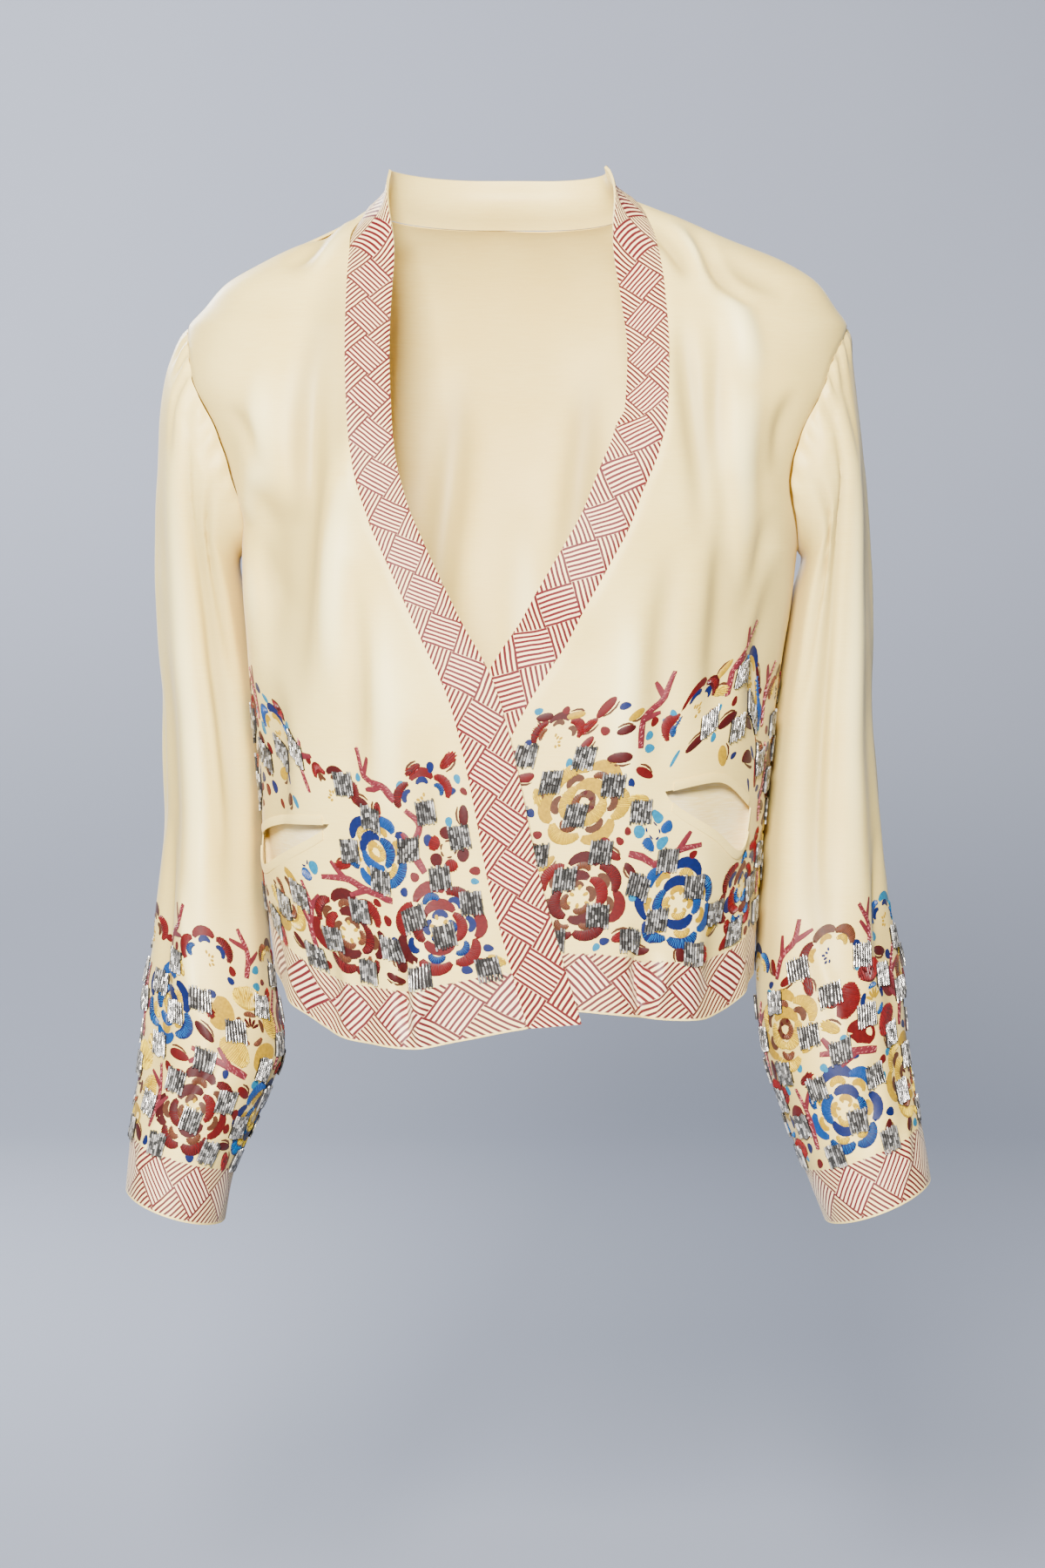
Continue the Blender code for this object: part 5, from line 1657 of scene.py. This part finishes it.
    def fill(self, top, tries=1500):
        """Almond leaves, buds and berries in the gaps that are left."""
        for _ in range(tries):
            s = self.random.uniform(self.BERRY, self.panel.width - self.BERRY)
            h = self.random.uniform(self.LOWEST + self.BERRY, top)
            kind = self.random.randint(0, 9)
            turn = self.random.uniform(-180, 180)
            reach = (self.LEAF if kind < 6 else self.BERRY) * self.random.uniform(0.8, 1.15)
            if any((s - x) ** 2 + (h - y) ** 2 < (r + reach * 0.6) ** 2 for x, y, r in self.taken):
                continue
            self.taken.append((s, h, reach))
            base = self.spot(-reach * 0.92, (s, h), turn)
            if kind < 6:
                self.almond(base, turn, reach)
            else:
                dye = ("sky", "navy", "brick")[kind - 6]
                self.lobe(base, turn, reach * 1.75, reach * 1.3, dye, 0.0, 0.25, 12)

    def almond(self, base, turn, reach):
        """A leaf or petal that lies loose, with a brown shadow along one side."""
        dye = ("wine", "brick", "wine", "gold")[self.random.randint(0, 4)]
        if self.lobe(base, turn, reach * 1.85, reach * 0.84, dye, self.LEAF_CROWN, -0.05):
            if self.random.uniform() < 0.4:
                self.sew_lobe(base, turn, reach * 1.85, reach * 0.84, dye)
            edge = np.array([[-0.50, 0.2], [-0.62, 0.7], [-0.56, 1.2], [-0.32, 1.6]]) * reach
            self.ribbon(self.turned(edge, base, turn), np.array([0.0008, 0.0016, 0.0016, 0.0008]), "brown")

    def bead_squares(self, low, high):
        """Squares of beads in a loose chequer over the border."""
        columns = int(self.panel.width / self.SQUARE_SPACING)
        pitch = self.panel.width / columns
        rows = int((high - low) / self.SQUARE_SPACING) + 1
        for r in range(rows):
            for c in range(columns):
                if (r + c) % 2:
                    continue
                drift = [self.random.uniform(-most, most) for most in self.SQUARE_DRIFT]
                s = (c + 0.5) * pitch + drift[0]
                h = low + r * self.SQUARE_SPACING + drift[1]
                if r == rows - 1 and self.random.uniform() < self.TOP_ROW_SHARE:
                    continue
                half = self.SQUARE
                around = np.array([[s + a * half, h + b * half] for a in (-1, 0, 1) for b in (-1, 0, 1)])
                if self.panel.near_mouth(*around.T, self.BEAD_MARGIN).any():
                    continue
                room = min(around[:, 0].min(), self.panel.width - around[:, 0].max())
                if room > 2 * self.OFF_EDGE or self.panel.wrap:
                    turn = self.random.uniform(-6, 6)
                    self.squares.append((s, h, turn))
                    self.square_painted_shadow(s, h, turn)

    def build(self, name, finishes, shapes, tree):
        """The panel's print, stitches and beads as three pieces."""
        mesh = new_mesh(name + "_print", np.concatenate(self.verts).tolist(), self.faces)
        turning = bmesh.new()
        turning.from_mesh(mesh)
        bmesh.ops.recalc_face_normals(turning, faces=turning.faces)
        turning.to_mesh(mesh)
        turning.free()
        set_values(mesh, "dye", "FLOAT_COLOR", "color", np.concatenate(self.dyes))
        mesh.materials.append(finishes["print"])
        made = [stand(name + "_print", mesh, PRINT_CREASE)]
        sewn = (("_stitches", "stitch", "thread", self.stitch_places()),
                ("_beads", "bead", "beads", self.bead_places()))
        for ending, shape, finish, places in sewn:
            made.append(set_copies(name + ending, tree, shapes[shape], finishes[finish], *places))
        return made

    def along_rows(self, rows, reach, lift=0.0):
        """Middle, normal and both ends of rows that begin with a place and a direction on the flat cloth."""
        s, h = rows[:, :2].T
        if self.panel.wrap:
            s = s % self.panel.width
        ahead, up = (rows[:, 2:4] * reach).T
        middle, normal = self.panel.place(s, h, lift)
        first, _ = self.panel.place(s - ahead, h - up, lift)
        last, _ = self.panel.place(s + ahead, h + up, lift)
        return middle, normal, first, last

    def set_on_cloth(self, rows, lift):
        """Points and turns of small shapes on the cloth."""
        points, normals, first, last = self.along_rows(rows, self.TURN_REACH, lift)
        return points, quaternions(unit(last - first), normals)

    def sag(self, rows):
        """How far the middle of a straight stitch leaves the cloth on which both its ends lie."""
        middle, normal, first, last = self.along_rows(rows, rows[:, 4:5] / 2)
        return np.abs(np.sum(((first + last) / 2 - middle) * normal, axis=-1))

    def stitch_places(self):
        """Places, turns, stretches and dyes of the stitches; none lies under beads or off the cloth."""
        rows = np.array([row[:7] for row in self.stitches])
        shades = np.array([THREADS.get(row[7], DYES[row[7]]) for row in self.stitches])
        centres = np.array([square[:2] for square in self.squares])
        gap = np.abs(rows[:, None, :2] - centres[None]).max(axis=-1).min(axis=1)
        sewn = (gap > self.SQUARE * 0.9) & (rows[:, 1] > self.LOWEST + self.OFF_EDGE)
        sewn &= ~self.panel.near_mouth(rows[:, 0], rows[:, 1], self.MOUTH_MARGIN)
        half = np.abs(rows[:, 2]) * rows[:, 4] / 2 + self.OFF_EDGE
        if not self.panel.wrap:
            sewn &= (rows[:, 0] > half) & (rows[:, 0] < self.panel.width - half)
        sewn &= self.sag(rows) < self.MOST_SAG
        rows = rows[sewn]
        shades = shades[sewn]
        shades[:, :3] *= self.random.uniform(0.75, 1.3, (len(shades), 1))
        points, turns = self.set_on_cloth(rows, self.STITCH_LIFT)
        return points, turns, rows[:, 4:7], shades

    def bead_places(self):
        """Where the beads of all squares lie, in columns, each with a random brightness painted into its
        colour as painted glints and painted shade.
        """
        places = []
        pitch = 2 * self.SQUARE / self.BEAD_COLUMNS
        for s, h, turn in self.squares:
            for c in range(self.BEAD_COLUMNS):
                slide = self.random.uniform(-self.BEAD_SLIDE, self.BEAD_SLIDE)
                for r in range(self.BEAD_ROWS):
                    across = (c - (self.BEAD_COLUMNS - 1) / 2) * pitch
                    up = (r - (self.BEAD_ROWS - 1) / 2) * self.BEAD_LENGTH * 1.03 + slide
                    place = self.turned([(across, up)], (s, h), turn)[0]
                    ahead = self.spot(1.0, (0, 0), turn + self.random.uniform(-7, 7))
                    places.append((*place, *ahead, self.random.uniform()))
        rows = np.array(places)
        points, turns = self.set_on_cloth(rows, self.BEAD_LIFT)
        # Painted glints and painted shade: each bead's colour brighter or darker at random
        bright = self.BEAD_PAINTED_DARK + self.BEAD_GLINT_RANGE * rows[:, 4:5] ** self.BEAD_GLINT_RARITY
        shades = np.concatenate([bright * self.BEAD_TINT, np.ones_like(bright)], axis=-1)
        size = (self.BEAD_LENGTH, self.BEAD_ACROSS, self.BEAD_ACROSS)
        return points, turns, np.tile(size, (len(rows), 1)), shades


def laid(blossoms, twigs, start, scale, shift=0):
    """The same kind of border on another panel: moved along, drawn in or mirrored, and dyed otherwise."""
    names = list(PALETTES)
    hand = math.copysign(1, scale)
    moved = []
    for b in blossoms:
        dyes = names[(names.index(b.palette) + shift) % len(names)]
        moved.append(b._replace(
            along=start + b.along * scale, radius=b.radius * abs(scale), turn=b.turn * hand, palette=dyes))
    return moved, [t._replace(points=[(start + s * scale, h) for s, h in t.points]) for t in twigs]


def dress_border(name, panel, seed, blossoms, twigs, top, finishes, shapes, tree):
    border = Border(panel, seed)
    border.bead_squares(BEADS_FROM, top + BEADS_ABOVE)
    for t in twigs:
        border.twig(t)
    for b in blossoms:
        border.blossom(b)
    border.fill(top)
    return border.build(name, finishes, shapes, tree)


# Cut of a cloth piece in metres: width and length before sewing, and the area of the cut shape
CutSize = namedtuple("CutSize", "width length area")


def keep(obj, node=None):
    """Attach a finished piece to the root body, and hide the part of model.glb that it stands for where one
    is named.
    """
    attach(obj, "root")
    if node:
        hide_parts(node)


Cloths = namedtuple("Cloths", "border plain bag band")


def build_side(side, tag, cloths, sewing):
    """One front with its pocket and band, and its sleeve; gives the border's pieces."""
    name = "front_" + tag
    panel, plain, outward = front_panel(side)
    front = panel.cloth(name + "_silk", BLOCK, cloths.border, join_slit(panel))
    keep(front, name)
    for piece, node in pocket_pieces(side, panel, plain, outward, cloths.bag, cloths.plain):
        keep(piece, node)
    overlays = dress_border(
        name, panel, FRONT_SEED + side, FRONT_BLOSSOMS[side], FRONT_TWIGS[side], FRONT_TOP[side], *sewing)
    band = "front_band_" + tag
    keep(front_band(band + "_silk", side, [cloths.band, cloths.plain]), band)
    sleeve = sleeve_panel(side)
    block = sleeve.width / round(sleeve.width / BLOCK)
    tube = sleeve.cloth("sleeve_" + tag + "_silk", block, cloths.border, join_tube(sleeve))
    keep(tube, "sleeve_" + tag)
    blossoms, twigs = SLEEVE_BLOSSOMS, SLEEVE_TWIGS
    if side > 0:
        blossoms, twigs = laid(blossoms, twigs, sleeve.width / MM, -1, 1)
    return overlays + dress_border(
        "sleeve_" + tag, sleeve, SLEEVE_SEED + side, blossoms, twigs, SLEEVE_TOP, *sewing)


def build_back(cloths, sewing):
    """The back and the band round its neck; gives the border's pieces."""
    back = back_panel()
    keep(back.cloth("back_silk", BLOCK, cloths.border), "back")
    blossoms = []
    twigs = []
    for start, side in ((0.0, -1), (back.width / 2 / MM, 1)):
        moved = laid(FRONT_BLOSSOMS[side], FRONT_TWIGS[side], start, BACK_DRAW_IN)
        blossoms += moved[0]
        twigs += moved[1]
    overlays = dress_border("back", back, BACK_SEED, blossoms, twigs, BACK_TOP, *sewing)
    neck = neck_band("neck_band_back_silk", [cloths.band, cloths.plain])
    keep(neck, "neck_band_back")
    return overlays


def build_cardigan():
    basket_hatch_group()
    silk_weave_group()
    cloths = Cloths(
        cream_silk("cream_silk_with_border", True), cream_silk("cream_silk_plain", False),
        # The pocket bag silk is painted paler: painted light inside the shaded pocket
        cream_silk("pocket_silk_painted_light", False, POCKET_PAINTED_LIGHT_CREAM), printed_band())
    finishes = {
        "print": dyed("printed_dye", 0.56, 500.0, Sheen_Weight=0.04, Specular_IOR_Level=0.22),
        "thread": dyed("silk_thread", 0.38, 900.0, Sheen_Weight=0.05, Specular_IOR_Level=0.38),
        # Bead colours hold painted glints and painted shade
        "beads": dyed("bugle_beads", 0.22, 260.0, Metallic=0.55, Specular_IOR_Level=0.6),
    }
    shapes = {"stitch": stitch_shape(), "bead": bead_shape()}
    sewing = (finishes, shapes, copies_tree())
    overlays = build_side(-1, "right", cloths, sewing)
    overlays += build_side(1, "left", cloths, sewing)
    overlays += build_back(cloths, sewing)
    for piece in overlays:
        keep(piece)
    for shape in shapes.values():
        bpy.data.objects.remove(shape)


# Studio
CAMERA_PLACE = (0.00464, -2.4, -0.1943)
CAMERA_TILT = 4.49
LENS = 82.8
FLOOR = -1.15
WALL = 4.3
SWEEP = 1.3
STAGE_FRONT = -6.0
STAGE_TOP = 4.0
STAGE_HALF_WIDTH = 7.0
PAPER = (srgb(168, 174, 190), srgb(173, 179, 195))
# Painted shade of the paper on the floor and low on the sweep
LOW_PAPER_SHADE = srgb(138, 144, 158)
AIR = srgb(226, 230, 238)
AIR_STRENGTH = 0.11


def build_stage():
    """One pale sheet: the floor, a round sweep and the wall behind, further off than a camera goes."""
    profile = [(STAGE_FRONT, FLOOR)]
    for angle in np.linspace(0, math.pi / 2, 13):
        profile.append((WALL - SWEEP * (1 - math.sin(angle)), FLOOR + SWEEP * (1 - math.cos(angle))))
    profile.append((WALL, STAGE_TOP))
    verts = [(x, y, z) for x in (-STAGE_HALF_WIDTH, STAGE_HALF_WIDTH) for y, z in profile]
    n = len(profile)
    faces = [(k, n + k, n + k + 1, k + 1) for k in range(n - 1)]
    mesh = new_mesh("studio_sheet", verts, faces)
    mesh.shade_smooth()
    finish, tree, shader = new_material("studio_paper", 0.9, Specular_IOR_Level=0.1)
    place = add_node(tree, "ShaderNodeTexCoord")
    grain = noise_node(tree, place.outputs["Object"], 2.0)
    paper = blend_colour(tree, grain.outputs["Fac"], *PAPER)
    height = add_node(tree, "ShaderNodeSeparateXYZ", {0: place.outputs["Object"]})
    # Painted shade: the paper darker on the floor and low on the sweep
    low = ramp(tree, height.outputs[2], FLOOR, FLOOR + SWEEP, 1.0, 0.0)
    tree.links.new(blend_colour(tree, low, paper, LOW_PAPER_SHADE), shader.inputs["Base Color"])
    mesh.materials.append(finish)
    stand("studio_sheet", mesh)


def soft_light(name, place, aim, size, power, colour=(1.0, 1.0, 1.0)):
    data = bpy.data.lights.new(name, "AREA")
    data.shape = "RECTANGLE"
    data.size = size[0]
    data.size_y = size[1]
    data.energy = power
    data.color = colour
    lamp = stand(name, data)
    lamp.location = place
    lamp.rotation_euler = (Vector(aim) - Vector(place)).to_track_quat("-Z", "Y").to_euler()


def build_studio():
    build_stage()
    data = bpy.data.cameras.new("camera")
    data.lens = LENS
    data.sensor_width = 36.0
    data.clip_end = 50.0
    camera = stand("camera", data)
    camera.location = CAMERA_PLACE
    camera.rotation_euler = (math.radians(90 - CAMERA_TILT), 0.0, 0.0)
    bpy.context.scene.camera = camera
    middle = (0.0, 0.0, -0.30)
    soft_light("key_box", (-0.3, -2.9, 0.75), middle, (0.6, 0.6), 446.0, (1.0, 0.965, 0.93))
    soft_light("left_box", (-2.4, -1.2, 0.6), middle, (0.6, 1.0), 32.0)
    soft_light("top_box", (0.1, -0.2, 1.9), middle, (1.5, 1.0), 16.0)
    soft_light("back_box", (-1.6, 2.3, 1.0), (0.0, 0.0, -0.2), (1.0, 1.0), 120.0)
    soft_light("wall_wash", (-1.9, 1.4, 0.7), (-1.0, WALL, -0.2), (1.2, 1.0), 120.0)
    world = bpy.data.worlds.new("studio_air")
    world.use_nodes = True
    air = world.node_tree.nodes["Background"].inputs
    air["Color"].default_value = AIR
    air["Strength"].default_value = AIR_STRENGTH
    bpy.context.scene.world = world


build_cardigan()
build_studio()
